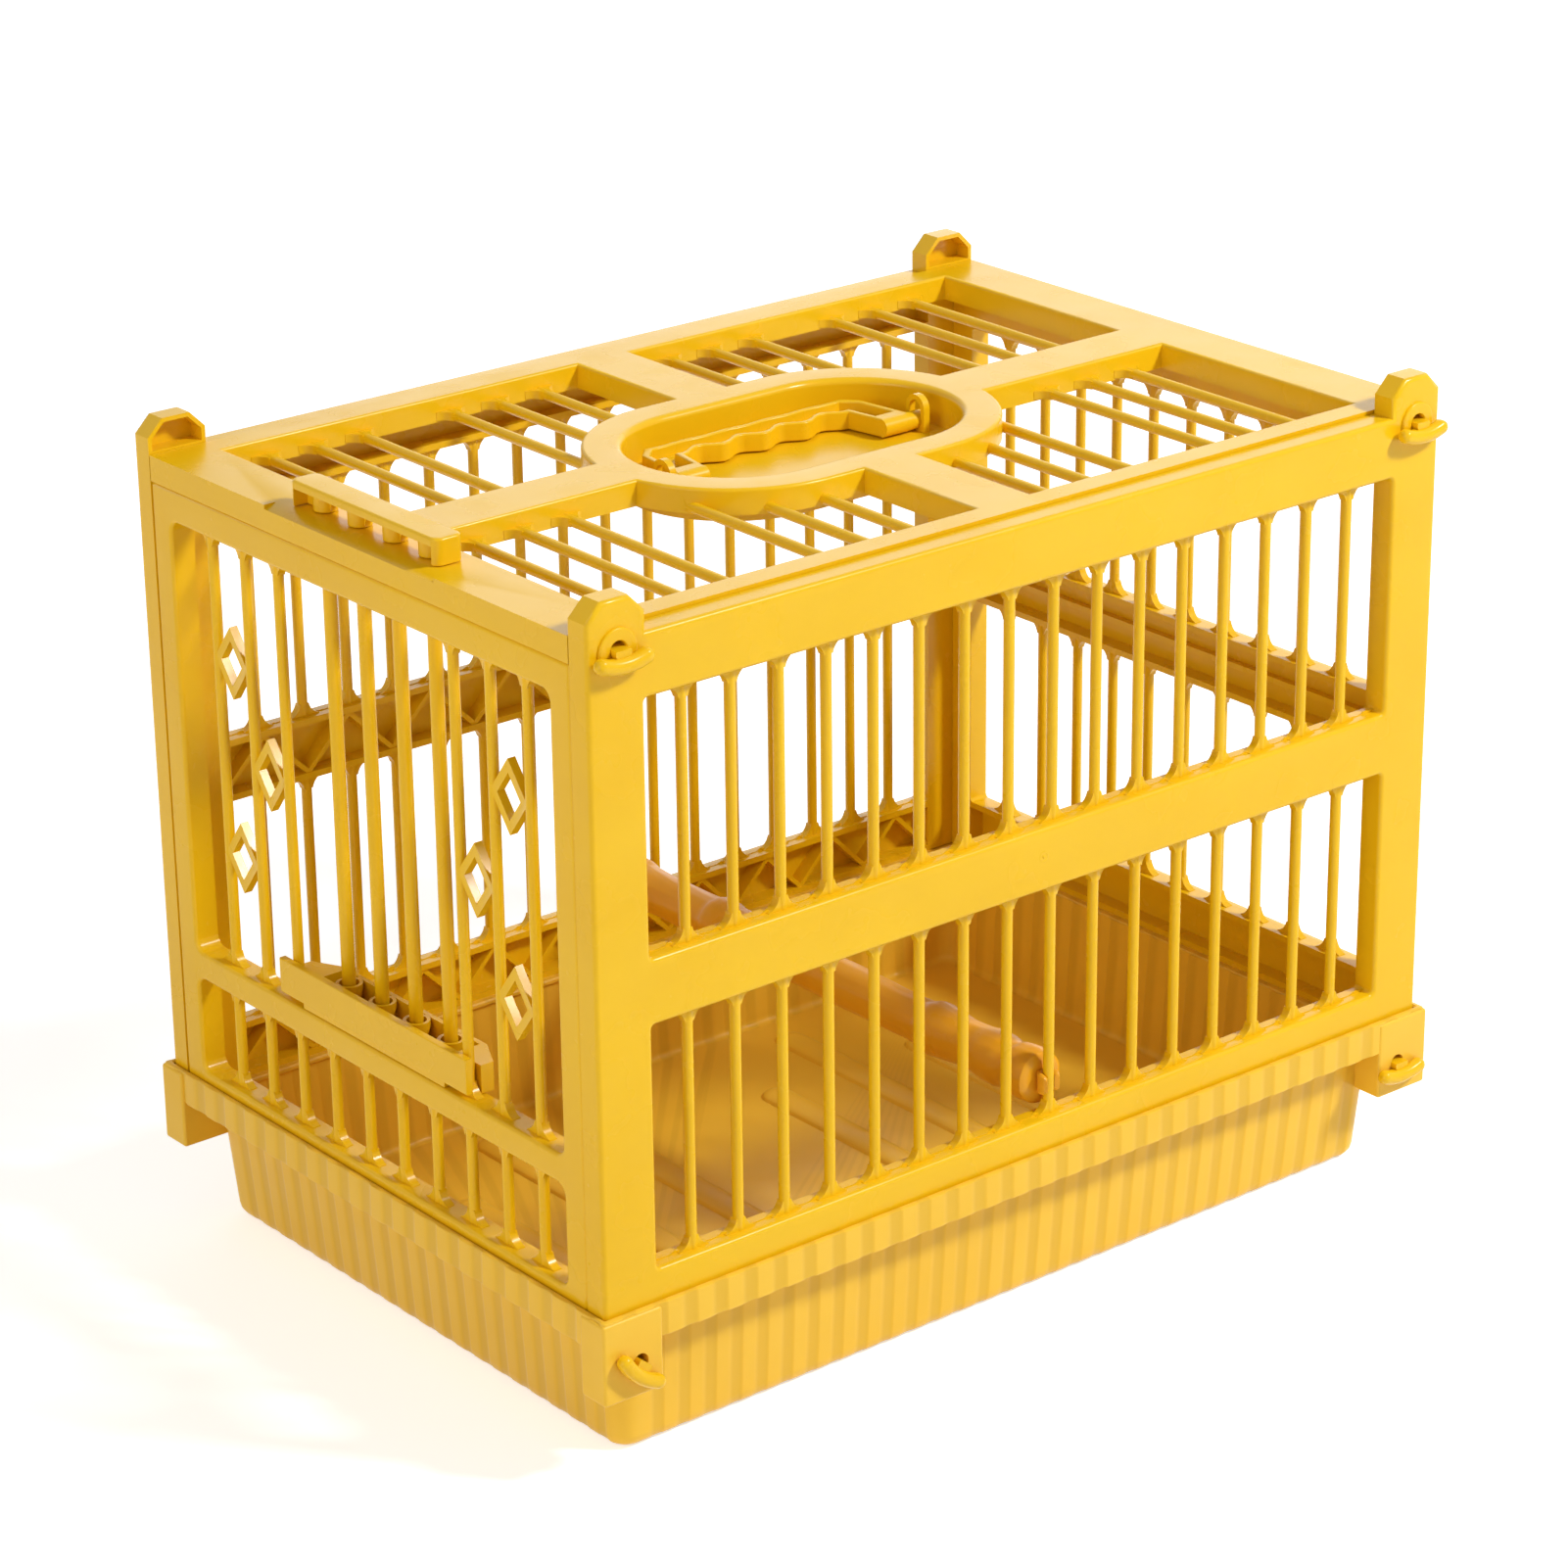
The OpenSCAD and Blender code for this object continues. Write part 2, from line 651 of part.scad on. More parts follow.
// Plan of the handle about its pivot axis (y = 0), drawn in by inset all round.
module handle_plan(inset) {
    x_pivot = handle_half - inset;
    x_out = x_pivot - arm_lean;
    x_in = grip_half + inset;
    x_in_pivot = handle_half - arm_w + inset;
    y_back = grip_back - inset;
    y_front = grip_back - grip_w + inset;
    corner = 4.5;
    steps = 8 * finger_count;
    front = [for (i = [0 : steps]) front_point(x_in * (2 * i / steps - 1), y_front)];
    back = [for (i = [0 : steps]) back_point((x_out - corner) * (1 - 2 * i / steps), y_back)];
    right_arm = [[x_in_pivot, 0], [x_pivot, 0], [x_out, y_back - corner]];
    left_arm = [[-x_out, y_back - corner], [-x_pivot, 0]];
    polygon(concat([[-x_in_pivot, 0]], front, right_arm, back, left_arm));
}

// U-shaped handle with a pivot stub at the foot of each arm. It lies folded in its well.
module handle() {
    groove_start = handle_h / 2 + 1;
    color(plastic) translate([0, 0, handle_z]) {
        difference() {
            union() {
                linear_extrude(handle_h) handle_plan(0);
                for (s = [-1, 1])
                    translate([s * (handle_half - arm_w / 2), 0, handle_h / 2]) rotate([0, 90, 0])
                        cylinder(d = handle_h, h = arm_w, center = true);
            }
            translate([0, 0, handle_h - groove_depth]) linear_extrude(groove_depth + over)
                intersection() {
                    handle_plan(groove_wall);
                    translate([-handle_half, groove_start]) square([2 * handle_half, grip_back]);
                }
        }
        for (s = [-1, 1])
            translate([s * (handle_half - over), 0, handle_h / 2]) rotate([0, s * 90, 0])
                cylinder(d = stub_d, h = over + arm_gap + stub_len);
    }
}

// Outline with rounded corners, centred.
module round_outline(w, l, r) {
    square([w - 2 * r, l], center = true);
    square([w, l - 2 * r], center = true);
    for (sx = [-1, 1])
        for (sy = [-1, 1])
            translate([sx * (w / 2 - r), sy * (l / 2 - r)]) circle(r = r);
}

// Pull bar on top of the gate: a cap over four sleeves that hold the rods, with arches between
// them.
module gate_pull_bar() {
    plate_t = 2.6;
    sleeve_d = rod_d + 2 * stub_wall;
    web = 2;
    end_t = 2.4;
    gap = end_pitch - sleeve_d;
    pull_front = 0.7;
    color(plastic) translate([rod_x, 0, pull_z]) difference() {
        translate([-pull_front, 0, 0]) linear_extrude(pull_h) round_outline(pull_w, pull_len, pull_round);
        difference() {
            translate([-2 * pull_w, -pull_len / 2 + end_t, -over])
                cube([4 * pull_w, pull_len - 2 * end_t, pull_h - plate_t + over]);
            translate([-web / 2, -pull_len / 2, -2 * over]) cube([web, pull_len, pull_h]);
            for (row = rod_rows)
                translate([0, row * end_pitch, -2 * over]) cylinder(d = sleeve_d, h = pull_h);
        }
        for (i = [-1, 0, 1])
            translate([0, i * end_pitch, -0.2]) rotate([0, 90, 0])
                cylinder(d = gap, h = 2 * web, center = true);
        for (row = rod_rows)
            translate([0, row * end_pitch, -over]) cylinder(d = rod_d, h = rod_top - pull_z + over);
    }
}

module gate_rod(row) {
    color(plastic) translate([rod_x, row * end_pitch, rod_bottom])
        cylinder(d = rod_d, h = rod_top - rod_bottom);
}

module gate_rod_1() {
    gate_rod(rod_rows[0]);
}

module gate_rod_2() {
    gate_rod(rod_rows[1]);
}

module gate_rod_3() {
    gate_rod(rod_rows[2]);
}

module gate_rod_4() {
    gate_rod(rod_rows[3]);
}

// Sill of the gate: a plate in front of the fixed bars and a trough behind it, with a cup for each
// rod.
// The trough's ends lie behind two fixed bars, which guide the gate.
module gate_sill() {
    inner_half = 2.5 * end_pitch - bar_d / 2 - flare_r - 2 * move_gap;
    lug_half = 2.5 * end_pitch + bar_d / 2 + 1.5;
    lug_t = 4.6;
    floor_t = 2.4;
    plate_x = -half_len + bar_depth - bar_d / 2 - move_gap - sill_t;
    lug_x = -half_len + bar_back + move_gap;
    back_x = rod_x + cup_d / 2 + trough_wall;
    cup_rim = 2;
    joined = 0.5;
    right_half = [[plate_x + joined, inner_half], [lug_x, inner_half], [lug_x, lug_half],
        [lug_x + lug_t, lug_half], [back_x, inner_half]];
    left_half = [for (i = [len(right_half) - 1 : -1 : 0]) [right_half[i][0], -right_half[i][1]]];
    color(plastic) translate([0, 0, sill_z]) difference() {
        union() {
            translate([plate_x, -sill_len / 2, sill_lift]) cube([sill_t, sill_len, sill_h]);
            linear_extrude(cup_h) polygon(concat(right_half, left_half));
        }
        difference() {
            translate([plate_x + sill_t, -inner_half + trough_wall, floor_t])
                cube([back_x - trough_wall - plate_x - sill_t, 2 * (inner_half - trough_wall), 2 * cup_h]);
            for (row = rod_rows)
                translate([rod_x, row * end_pitch, 0]) {
                    cylinder(d1 = rod_d + 1, d2 = cup_d, h = cup_h - cup_rim);
                    translate([0, 0, cup_h - cup_rim]) cylinder(d = cup_d, h = cup_rim);
                }
        }
        for (row = rod_rows)
            translate([rod_x, row * end_pitch, 0]) {
                translate([0, 0, cup_floor]) cylinder(d = rod_d, h = cup_h);
                translate([0, 0, cup_floor + cup_seat]) cylinder(d = rod_d + 2 * cup_lip, h = cup_h);
            }
    }
}

// A rounded slab of the tub: inset from its size at the ledge, and z.
module tub_slice(inset, z) {
    r = tub_corner - inset / 2;
    for (sx = [-1, 1])
        for (sy = [-1, 1])
            translate([sx * (tub_x - inset - r), sy * (tub_y - inset - r), z])
                cylinder(r = r, h = 0.01, $fn = 32);
}

// The tub's outer form, or its hollow when it is drawn in by wall.
module tub_form(wall, floor_z, top) {
    edge = max(1, tub_edge - wall);
    hull() {
        tub_slice(wall, top - 0.01);
        tub_slice(wall + tub_draft, floor_z + edge);
        for (a = [30, 60])
            tub_slice(wall + tub_draft + edge * (1 - cos(a)), floor_z + edge * (1 - sin(a)));
        tub_slice(wall + tub_draft + edge, floor_z);
    }
}

// Corner leg under the rim: a box open below, which takes the tab of a long side panel.
module corner_leg() {
    leg_y = rim_out + tab_t + tab_clear + leg_wall;
    translate([half_len + rim_out - leg_w, half_dep + rim_out - leg_y, tub_h - leg_h])
        cube([leg_w, leg_y, leg_h + ledge_t]);
}

module corner_leg_hollow() {
    hollow_x = leg_w - rim_out - leg_wall;
    translate([half_len - hollow_x, half_dep - tab_t - tab_clear, tub_h - leg_h - over])
        cube([hollow_x + joint_gap, tab_t + tab_clear + joint_gap, leg_h + ledge_t + 2 * over]);
}

// Tray: fluted tub with a ledge, an upright rim round the panels and a leg at each corner.
module tray() {
    rib_reach = tub_y - tub_draft - tub_wall - floor_rib_gap - floor_rib_w / 2;
    rib_sink = 0.5;
    color(plastic) {
        difference() {
            union() {
                translate([-half_len - rim_out, -half_dep - rim_out, tub_h])
                    cube([cage_len + 2 * rim_out, cage_dep + 2 * rim_out, rim_h]);
                tub_form(0, 0, tub_h + ledge_t / 2);
                for (sx = [0, 1])
                    for (sy = [0, 1])
                        mirror([sx, 0, 0]) mirror([0, sy, 0]) corner_leg();
            }
            translate([-half_len - joint_gap, -half_dep - joint_gap, seat_z])
                cube([cage_len + 2 * joint_gap, cage_dep + 2 * joint_gap, rim_h]);
            tub_form(tub_wall, tub_wall, seat_z + over);
            for (sx = [0, 1])
                for (sy = [0, 1])
                    mirror([sx, 0, 0]) mirror([0, sy, 0]) {
                        corner_leg_hollow();
                        translate([half_len - pin_inset, half_dep - tab_t - 1.6, pin_leg_z])
                            rotate([-90, 0, 0]) cylinder(d = pin_bore_d, h = 2 * panel_t);
                    }
        }
        for (side = [-1, 1])
            for (i = [1 : floor_ribs])
                translate([side * i * floor_rib_step, 0, tub_wall - rib_sink]) rotate([0, 0, 90])
                    round_slab(floor_rib_w / 2, rib_reach - (i % 2 == 1 ? floor_rib_cut : 0),
                        floor_rib_h + rib_sink);
    }
}

// Outline of a pin's cross bar: a band that sags between its round ends, with its middle at the
// origin.
module cross_bar_outline() {
    reach = (pin_bar_len - pin_bar_h) / 2;
    arc_r = (reach * reach + pin_bar_sag * pin_bar_sag) / (2 * pin_bar_sag);
    intersection() {
        translate([0, arc_r]) difference() {
            circle(r = arc_r + pin_bar_h / 2, $fn = 160);
            circle(r = arc_r - pin_bar_h / 2, $fn = 160);
        }
        polygon([[0, arc_r], [-2 * reach, arc_r - 2 * (arc_r - pin_bar_sag)],
            [2 * reach, arc_r - 2 * (arc_r - pin_bar_sag)]]);
    }
    for (s = [-1, 1])
        translate([s * reach, pin_bar_sag]) circle(d = pin_bar_h);
}

// Turn-lock pin, lying along +Y from its face at y = 0; the cross bar stands in front of the face.
module lock_pin(length, front) {
    shaft_front = front + pin_bar_t / 2;
    difference() {
        translate([0, -shaft_front, 0]) rotate([-90, 0, 0])
            cylinder(d = pin_d, h = length + shaft_front);
        // flat along the shaft, which leaves the upper part of the bore empty
        translate([-pin_d, -shaft_front - over, 0.14 * pin_d])
            cube([2 * pin_d, length + shaft_front + 2 * over, pin_d]);
    }
    translate([0, -front, -pin_bar_drop]) rotate([90, 0, 0])
        linear_extrude(pin_bar_t) cross_bar_outline();
}

// end: -1 at the gate end, 1 at the rear; side: 0 at the front, 1 at the back.
module top_pin(end, side, tilt = 0) {
    color(plastic) rotate([0, 0, side * 180])
        translate([end * (half_len - pin_inset), -half_dep, pin_top_z]) rotate([0, tilt, 0])
            lock_pin(panel_t + pin_reach, ring_h + move_gap);
}

module leg_pin(end, side, tilt = 0) {
    color(plastic) rotate([0, 0, side * 180])
        translate([end * (half_len - pin_inset), -half_dep - rim_out, pin_leg_z])
            rotate([0, tilt, 0]) lock_pin(rim_out + tab_t + 1, move_gap);
}

module lock_pin_top_front_gate() {
    top_pin(-1, 0);
}

module lock_pin_top_front_rear() {
    top_pin(1, 0);
}

module lock_pin_top_back_gate() {
    top_pin(1, 1, pin_tilt_back);
}

module lock_pin_top_back_rear() {
    top_pin(-1, 1);
}

module lock_pin_leg_front_gate() {
    leg_pin(-1, 0, pin_tilt);
}

module lock_pin_leg_front_rear() {
    leg_pin(1, 0);
}

module lock_pin_leg_back_gate() {
    leg_pin(1, 1);
}

module lock_pin_leg_back_rear() {
    leg_pin(-1, 1);
}

// Radius of the perch at a share t of its length: knots swell it, and it narrows to both ends.
function swell(t, at, width) = exp(-pow((t - at) / width, 2));
function knots(t) = swell(t, 0.16, 0.03) + swell(t, 0.45, 0.05) + swell(t, 0.7, 0.035)
    + swell(t, 0.92, 0.025);
function narrow_ends(t) = 0.8 * (swell(t, 0, 0.04) + swell(t, 1, 0.04));
function perch_r(t) = perch_d / 2 + knot_h * knots(t) - narrow_ends(t);

// Perch: a branch-like bar across the cabin, clipped to a bar of each long side.
module perch() {
    perch_x = -half_len + post_w - bar_d / 2 + perch_bar * side_pitch;
    bar_y = half_dep - bar_depth;
    body_end = half_dep - bar_back - 1.2;
    steps = 44;
    profile = [for (i = [0 : steps]) [perch_r(i / steps), 2 * body_end * i / steps]];
    clip_bore = bar_d + 2 * clip_clear;
    clip_d = clip_bore + 2 * clip_wall;
    neck = 4;
    mouth = 0.72 * bar_d;
    color(plastic) translate([perch_x, 0, perch_z]) {
        translate([0, -body_end, 0]) rotate([-90, 0, 0])
            rotate_extrude() polygon(concat([[0, 0]], profile, [[0, 2 * body_end]]));
        for (side = [0, 1])
            rotate([0, 0, side * 180]) difference() {
                union() {
                    translate([0, -bar_y, 0]) cylinder(d = clip_d, h = clip_h, center = true);
                    translate([-neck / 2, -bar_y, -clip_h / 2])
                        cube([neck, bar_y - body_end + over, clip_h]);
                }
                translate([0, -bar_y, 0]) cylinder(d = clip_bore, h = 2 * clip_h, center = true);
                translate([-mouth / 2, -bar_y - clip_d, -clip_h]) cube([mouth, clip_d, 2 * clip_h]);
            }
    }
}

tray();
side_panel_front();
side_panel_back();
gate_end_panel();
rear_end_panel();
top_panel();
handle();
gate_pull_bar();
gate_rod_1();
gate_rod_2();
gate_rod_3();
gate_rod_4();
gate_sill();
perch();
lock_pin_top_front_gate();
lock_pin_top_front_rear();
lock_pin_top_back_gate();
lock_pin_top_back_rear();
lock_pin_leg_front_gate();
lock_pin_leg_front_rear();
lock_pin_leg_back_gate();
lock_pin_leg_back_rear();
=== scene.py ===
# Travel carrier for small birds: yellow moulded panels pinned together over a fluted tray.
# Metres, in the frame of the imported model: the gate end faces -X and the front long side -Y.
import math

import bmesh
import bpy
from mathutils import Matrix, Vector, noise
from mathutils.geometry import delaunay_2d_cdt


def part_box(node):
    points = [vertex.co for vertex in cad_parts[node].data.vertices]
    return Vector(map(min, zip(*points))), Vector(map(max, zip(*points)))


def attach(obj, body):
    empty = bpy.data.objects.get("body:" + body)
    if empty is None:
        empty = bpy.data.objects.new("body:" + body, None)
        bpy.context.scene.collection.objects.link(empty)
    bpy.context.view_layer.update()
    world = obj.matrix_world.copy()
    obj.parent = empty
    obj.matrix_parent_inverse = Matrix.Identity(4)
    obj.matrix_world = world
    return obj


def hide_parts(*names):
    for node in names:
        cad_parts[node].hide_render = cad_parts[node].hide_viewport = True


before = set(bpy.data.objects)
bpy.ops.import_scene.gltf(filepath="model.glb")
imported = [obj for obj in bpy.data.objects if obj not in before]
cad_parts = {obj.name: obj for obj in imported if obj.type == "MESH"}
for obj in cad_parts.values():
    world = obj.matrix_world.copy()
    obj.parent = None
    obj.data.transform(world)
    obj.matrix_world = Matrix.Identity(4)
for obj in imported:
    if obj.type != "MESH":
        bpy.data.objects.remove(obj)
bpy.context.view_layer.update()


# ---------------------------------------------------------------------------------------------
# Camera: stands where the photograph was taken from, in front of the corner between the gate
# end and the front long side, a little above the carrier.
view_turn = math.radians(-38.9925)
view_height = math.radians(21.8401)
view_tilt = math.radians(-0.6682)
camera_place = Vector((-0.90256, -1.10801, 0.71675))
focal_pixels = 4842.98
frame_pixels = 1601
sensor_width = 36

back = Vector((math.sin(view_turn) * math.cos(view_height),
               -math.cos(view_turn) * math.cos(view_height), math.sin(view_height)))
level_right = (-back).cross(Vector((0, 0, 1))).normalized()
level_up = level_right.cross(-back)
right = level_right * math.cos(view_tilt) + level_up * math.sin(view_tilt)
up = level_up * math.cos(view_tilt) - level_right * math.sin(view_tilt)
camera = bpy.data.objects.new("camera", bpy.data.cameras.new("camera"))
camera.matrix_world = Matrix.Translation(camera_place) @ Matrix((right, up, back)).transposed().to_4x4()
camera.data.sensor_width = sensor_width
camera.data.lens = focal_pixels * sensor_width / frame_pixels
bpy.context.scene.collection.objects.link(camera)
bpy.context.scene.camera = camera
bpy.context.scene.view_settings.view_transform = "Standard"


# ---------------------------------------------------------------------------------------------
# Studio: a pale sheet under the carrier, a white room round it, a strong lamp high in front on the
# right, a weak warm one for the gate end in shade, and a broad one low behind that makes the top
# shine. The sheet and the room look pure white, and light the carrier less than they look.
sheet_half = 5.0
sheet_colour = (0.92, 0.92, 0.92, 1)
sheet_roughness, sheet_specular = 0.9, 0.1
sheet_lift_to_white = 0.55
room_light = 0.33


def is_seen(nodes, links):
    """1 for rays that show the studio itself: straight, mirrored or through."""
    path = nodes.new("ShaderNodeLightPath")
    total = path.outputs["Is Camera Ray"]
    for kind in ("Is Glossy Ray", "Is Transmission Ray"):
        add = nodes.new("ShaderNodeMath")
        add.operation = "MAXIMUM"
        links.new(total, add.inputs[0])
        links.new(path.outputs[kind], add.inputs[1])
        total = add.outputs[0]
    return total


sheet_mesh = bpy.data.meshes.new("sheet")
sheet_corners = ((-1, -1), (1, -1), (1, 1), (-1, 1))
sheet_mesh.from_pydata([(x * sheet_half, y * sheet_half, 0) for x, y in sheet_corners], [], [(0, 1, 2, 3)])
sheet = bpy.data.objects.new("sheet", sheet_mesh)
bpy.context.scene.collection.objects.link(sheet)
paper = bpy.data.materials.new("pale_paper")
paper.use_nodes = True
nodes, links = paper.node_tree.nodes, paper.node_tree.links
surface = nodes["Principled BSDF"]
surface.inputs["Base Color"].default_value = sheet_colour
surface.inputs["Roughness"].default_value = sheet_roughness
surface.inputs["Specular IOR Level"].default_value = sheet_specular
surface.inputs["Emission Color"].default_value = (1, 1, 1, 1)
lift = nodes.new("ShaderNodeMath")
lift.operation = "MULTIPLY"
lift.inputs[1].default_value = sheet_lift_to_white
links.new(is_seen(nodes, links), lift.inputs[0])
links.new(lift.outputs[0], surface.inputs["Emission Strength"])
sheet_mesh.materials.append(paper)

room = bpy.data.worlds.new("room")
room.use_nodes = True
bpy.context.scene.world = room
nodes, links = room.node_tree.nodes, room.node_tree.links
walls = nodes["Background"]
walls.inputs["Color"].default_value = (1, 1, 1, 1)
level = nodes.new("ShaderNodeMapRange")
level.inputs["To Min"].default_value = room_light
level.inputs["To Max"].default_value = 1.0
links.new(is_seen(nodes, links), level.inputs["Value"])
links.new(level.outputs["Result"], walls.inputs["Strength"])


def soft_lamp(name, place, target, size, watts, colour):
    lamp = bpy.data.lights.new(name, "AREA")
    lamp.shape = "DISK"
    lamp.size = size
    lamp.energy = watts
    lamp.color = colour
    holder = bpy.data.objects.new(name, lamp)
    holder.location = place
    holder.rotation_euler = (Vector(target) - Vector(place)).to_track_quat("-Z", "Y").to_euler()
    bpy.context.scene.collection.objects.link(holder)


soft_lamp("key_lamp", (0.92, -1.32, 1.63), (0, 0, 0.13), 0.35, 38, (1, 1, 1))
soft_lamp("sheen_lamp", (2.1, 1.75, 1.05), (0, 0, 0.26), 2.2, 12, (1, 1, 1))
soft_lamp("gate_lamp", (-1.9, -0.3, 0.7), (0, 0, 0.13), 1.4, 13, (1, 0.92, 0.78))


# ---------------------------------------------------------------------------------------------
# Tray: one deep moulding in a slightly peachy, satin plastic. Its walls and upright rim are
# fluted, it has a box-shaped leg under each corner for the lock pins, and raised ribs inside.
MM = 0.001
rim_x, rim_y = 173.0 * MM, 120.0 * MM
rim_under, rim_top = 43.4 * MM, 54.9 * MM
rim_wall = 2.8 * MM
ledge_top = 45.4 * MM
tub_x, tub_y = 161.0 * MM, 109.8 * MM
tub_draft = 3.4 * MM
tub_wall = 2.2 * MM
tub_corner = 8.5 * MM
tub_edge = 5.0 * MM
flutes_long, flutes_short = 30, 20
flute_depth = 0.3 * MM
# the flutes fade out on the round at the foot, above this turn of it
fade_turn, faded = 1.2, 0.3
tub_top = ledge_top - 0.6 * MM
# one flute: how far along it, and how proud it stands there
flute_profile = ((0, 1), (0.36, 1), (0.46, 0.8), (0.54, 0.25), (0.62, 0), (0.84, 0), (0.92, 0.25),
                 (0.97, 0.8))
arc_steps = 8
# noise scales of the plastic's flow marks, gloss, skin and sink marks, and how each is used
flow_scale, flow_stretch, flow_low, flow_high = 16, (1, 1, 1.6), 0.32, 0.62
# painted shade: the sunk parts of flutes take the deeper tone, darkened by this share
painted_flute_shade = 0.9
gloss_scale, gloss_low, gloss_high, gloss_less, gloss_more = 55, 0.3, 0.7, 0.05, 0.07
skin_scale, skin_strength, skin_depth = 1400, 0.35, 0.012 * MM
sink_scale, sink_strength, sink_depth = 38, 0.5, 0.35 * MM
plastic_ior, plastic_specular = 1.5, 0.25


def moulded_plastic(name, colour, deep_colour, roughness):
    """Solid-dyed plastic: cloudy flow marks in the colour, a faint skin texture, uneven gloss, and painted
    shade in the sunk parts of flutes.
    """
    material = bpy.data.materials.new(name)
    material.use_nodes = True
    nodes, links = material.node_tree.nodes, material.node_tree.links
    surface = nodes["Principled BSDF"]
    place = nodes.new("ShaderNodeTexCoord")

    def clouds(scale, detail, stretch=(1, 1, 1)):
        squeeze = nodes.new("ShaderNodeMapping")
        squeeze.inputs["Scale"].default_value = stretch
        texture = nodes.new("ShaderNodeTexNoise")
        texture.inputs["Scale"].default_value = scale
        texture.inputs["Detail"].default_value = detail
        links.new(place.outputs["Object"], squeeze.inputs["Vector"])
        links.new(squeeze.outputs["Vector"], texture.inputs["Vector"])
        return texture.outputs["Fac"]

    flow = nodes.new("ShaderNodeValToRGB")
    flow.color_ramp.elements[0].position = flow_low
    flow.color_ramp.elements[0].color = (*deep_colour, 1)
    flow.color_ramp.elements[1].position = flow_high
    flow.color_ramp.elements[1].color = (*colour, 1)
    links.new(clouds(flow_scale, 4, flow_stretch), flow.inputs["Fac"])
    # painted shade: the deeper a face is sunk in a flute, the darker its colour, for the shade in the
    # flutes' hollows
    sunk = nodes.new("ShaderNodeAttribute")
    sunk.attribute_name = "sunk"
    shade = nodes.new("ShaderNodeMix")
    shade.data_type = "RGBA"
    shade.inputs["B"].default_value = (*[c * painted_flute_shade for c in deep_colour], 1)
    links.new(flow.outputs["Color"], shade.inputs["A"])
    links.new(sunk.outputs["Fac"], shade.inputs["Factor"])
    links.new(shade.outputs["Result"], surface.inputs["Base Color"])

    gloss = nodes.new("ShaderNodeMapRange")
    gloss.inputs["From Min"].default_value = gloss_low
    gloss.inputs["From Max"].default_value = gloss_high
    gloss.inputs["To Min"].default_value = roughness - gloss_less
    gloss.inputs["To Max"].default_value = roughness + gloss_more
    links.new(clouds(gloss_scale, 3), gloss.inputs["Value"])
    links.new(gloss.outputs["Result"], surface.inputs["Roughness"])

    skin = nodes.new("ShaderNodeBump")
    skin.inputs["Strength"].default_value = skin_strength
    skin.inputs["Distance"].default_value = skin_depth
    links.new(clouds(skin_scale, 2), skin.inputs["Height"])
    sinks = nodes.new("ShaderNodeBump")
    sinks.inputs["Strength"].default_value = sink_strength
    sinks.inputs["Distance"].default_value = sink_depth
    links.new(clouds(sink_scale, 1), sinks.inputs["Height"])
    links.new(skin.outputs["Normal"], sinks.inputs["Normal"])
    links.new(sinks.outputs["Normal"], surface.inputs["Normal"])
    surface.inputs["IOR"].default_value = plastic_ior
    surface.inputs["Specular IOR Level"].default_value = plastic_specular
    return material


tray_plastic = moulded_plastic("tray_plastic", (0.86, 0.525, 0.045), (0.83, 0.495, 0.035), 0.34)
even_weight = 60


def piece(name, mesh, material, smooth_angle=40):
    """An object from a mesh, shaded smooth over its rounded edges and flat on its faces."""
    mesh.materials.clear()
    mesh.materials.append(material)
    found = bpy.data.objects.new(name, mesh)
    bpy.context.scene.collection.objects.link(found)
    mesh.shade_smooth()
    mesh.set_sharp_from_angle(angle=math.radians(smooth_angle))
    weigh = found.modifiers.new("even_faces", "WEIGHTED_NORMAL")
    weigh.keep_sharp = True
    weigh.weight = even_weight
    return found


def fluted_line(half_x, half_y, corner, height, depth):
    """A rounded rectangle at that height, with flutes sunk to that depth in its straight sides.
    Returns its points and how far each is sunk, from 0 to 1."""
    points, sunk = [], []
    sides = ((1, 0, flutes_short), (0, 1, flutes_long), (-1, 0, flutes_short), (0, -1, flutes_long))
    for out_x, out_y, count in sides:
        along = Vector((-out_y, out_x, 0))
        outward = Vector((out_x, out_y, 0))
        middle = outward * (half_x if out_x else half_y)
        run = (half_y if out_x else half_x) - corner
        for flute in range(count):
            for share, proud in flute_profile:
                step = -1 + 2 * (flute + share) / count
                points.append(middle + along * run * step - outward * depth * (1 - proud)
                              + Vector((0, 0, height)))
                sunk.append(1 - proud)
        hub = middle - outward * corner + along * run
        for step in range(arc_steps):
            turn = math.pi / 2 * step / arc_steps
            points.append(hub + (outward * math.cos(turn) + along * math.sin(turn)) * corner
                          + Vector((0, 0, height)))
            sunk.append(0)
    return points, sunk


def skin_between(shape, lines, closed=False, shade=None):
    """Lays a skin through a stack of lines of equal length, and returns its rows of corners."""
    rows = []
    for points, sunk in lines:
        row = [shape.verts.new(p) for p in points]
        if shade is not None:
            for corner, value in zip(row, sunk):
                corner[shade] = value
        rows.append(row)
    pairs = list(zip(rows, rows[1:] + rows[:1])) if closed else list(zip(rows, rows[1:]))
    for lower, upper in pairs:
        for i in range(len(lower)):
            k = (i + 1) % len(lower)
            shape.faces.new((lower[i], lower[k], upper[k], upper[i]))
    return rows


tray_shape = bmesh.new()
shade_layer = tray_shape.verts.layers.float.new("sunk")


def tub_line(inset, height, depth):
    return fluted_line(tub_x - inset, tub_y - inset, tub_corner - inset / 2, height, depth)


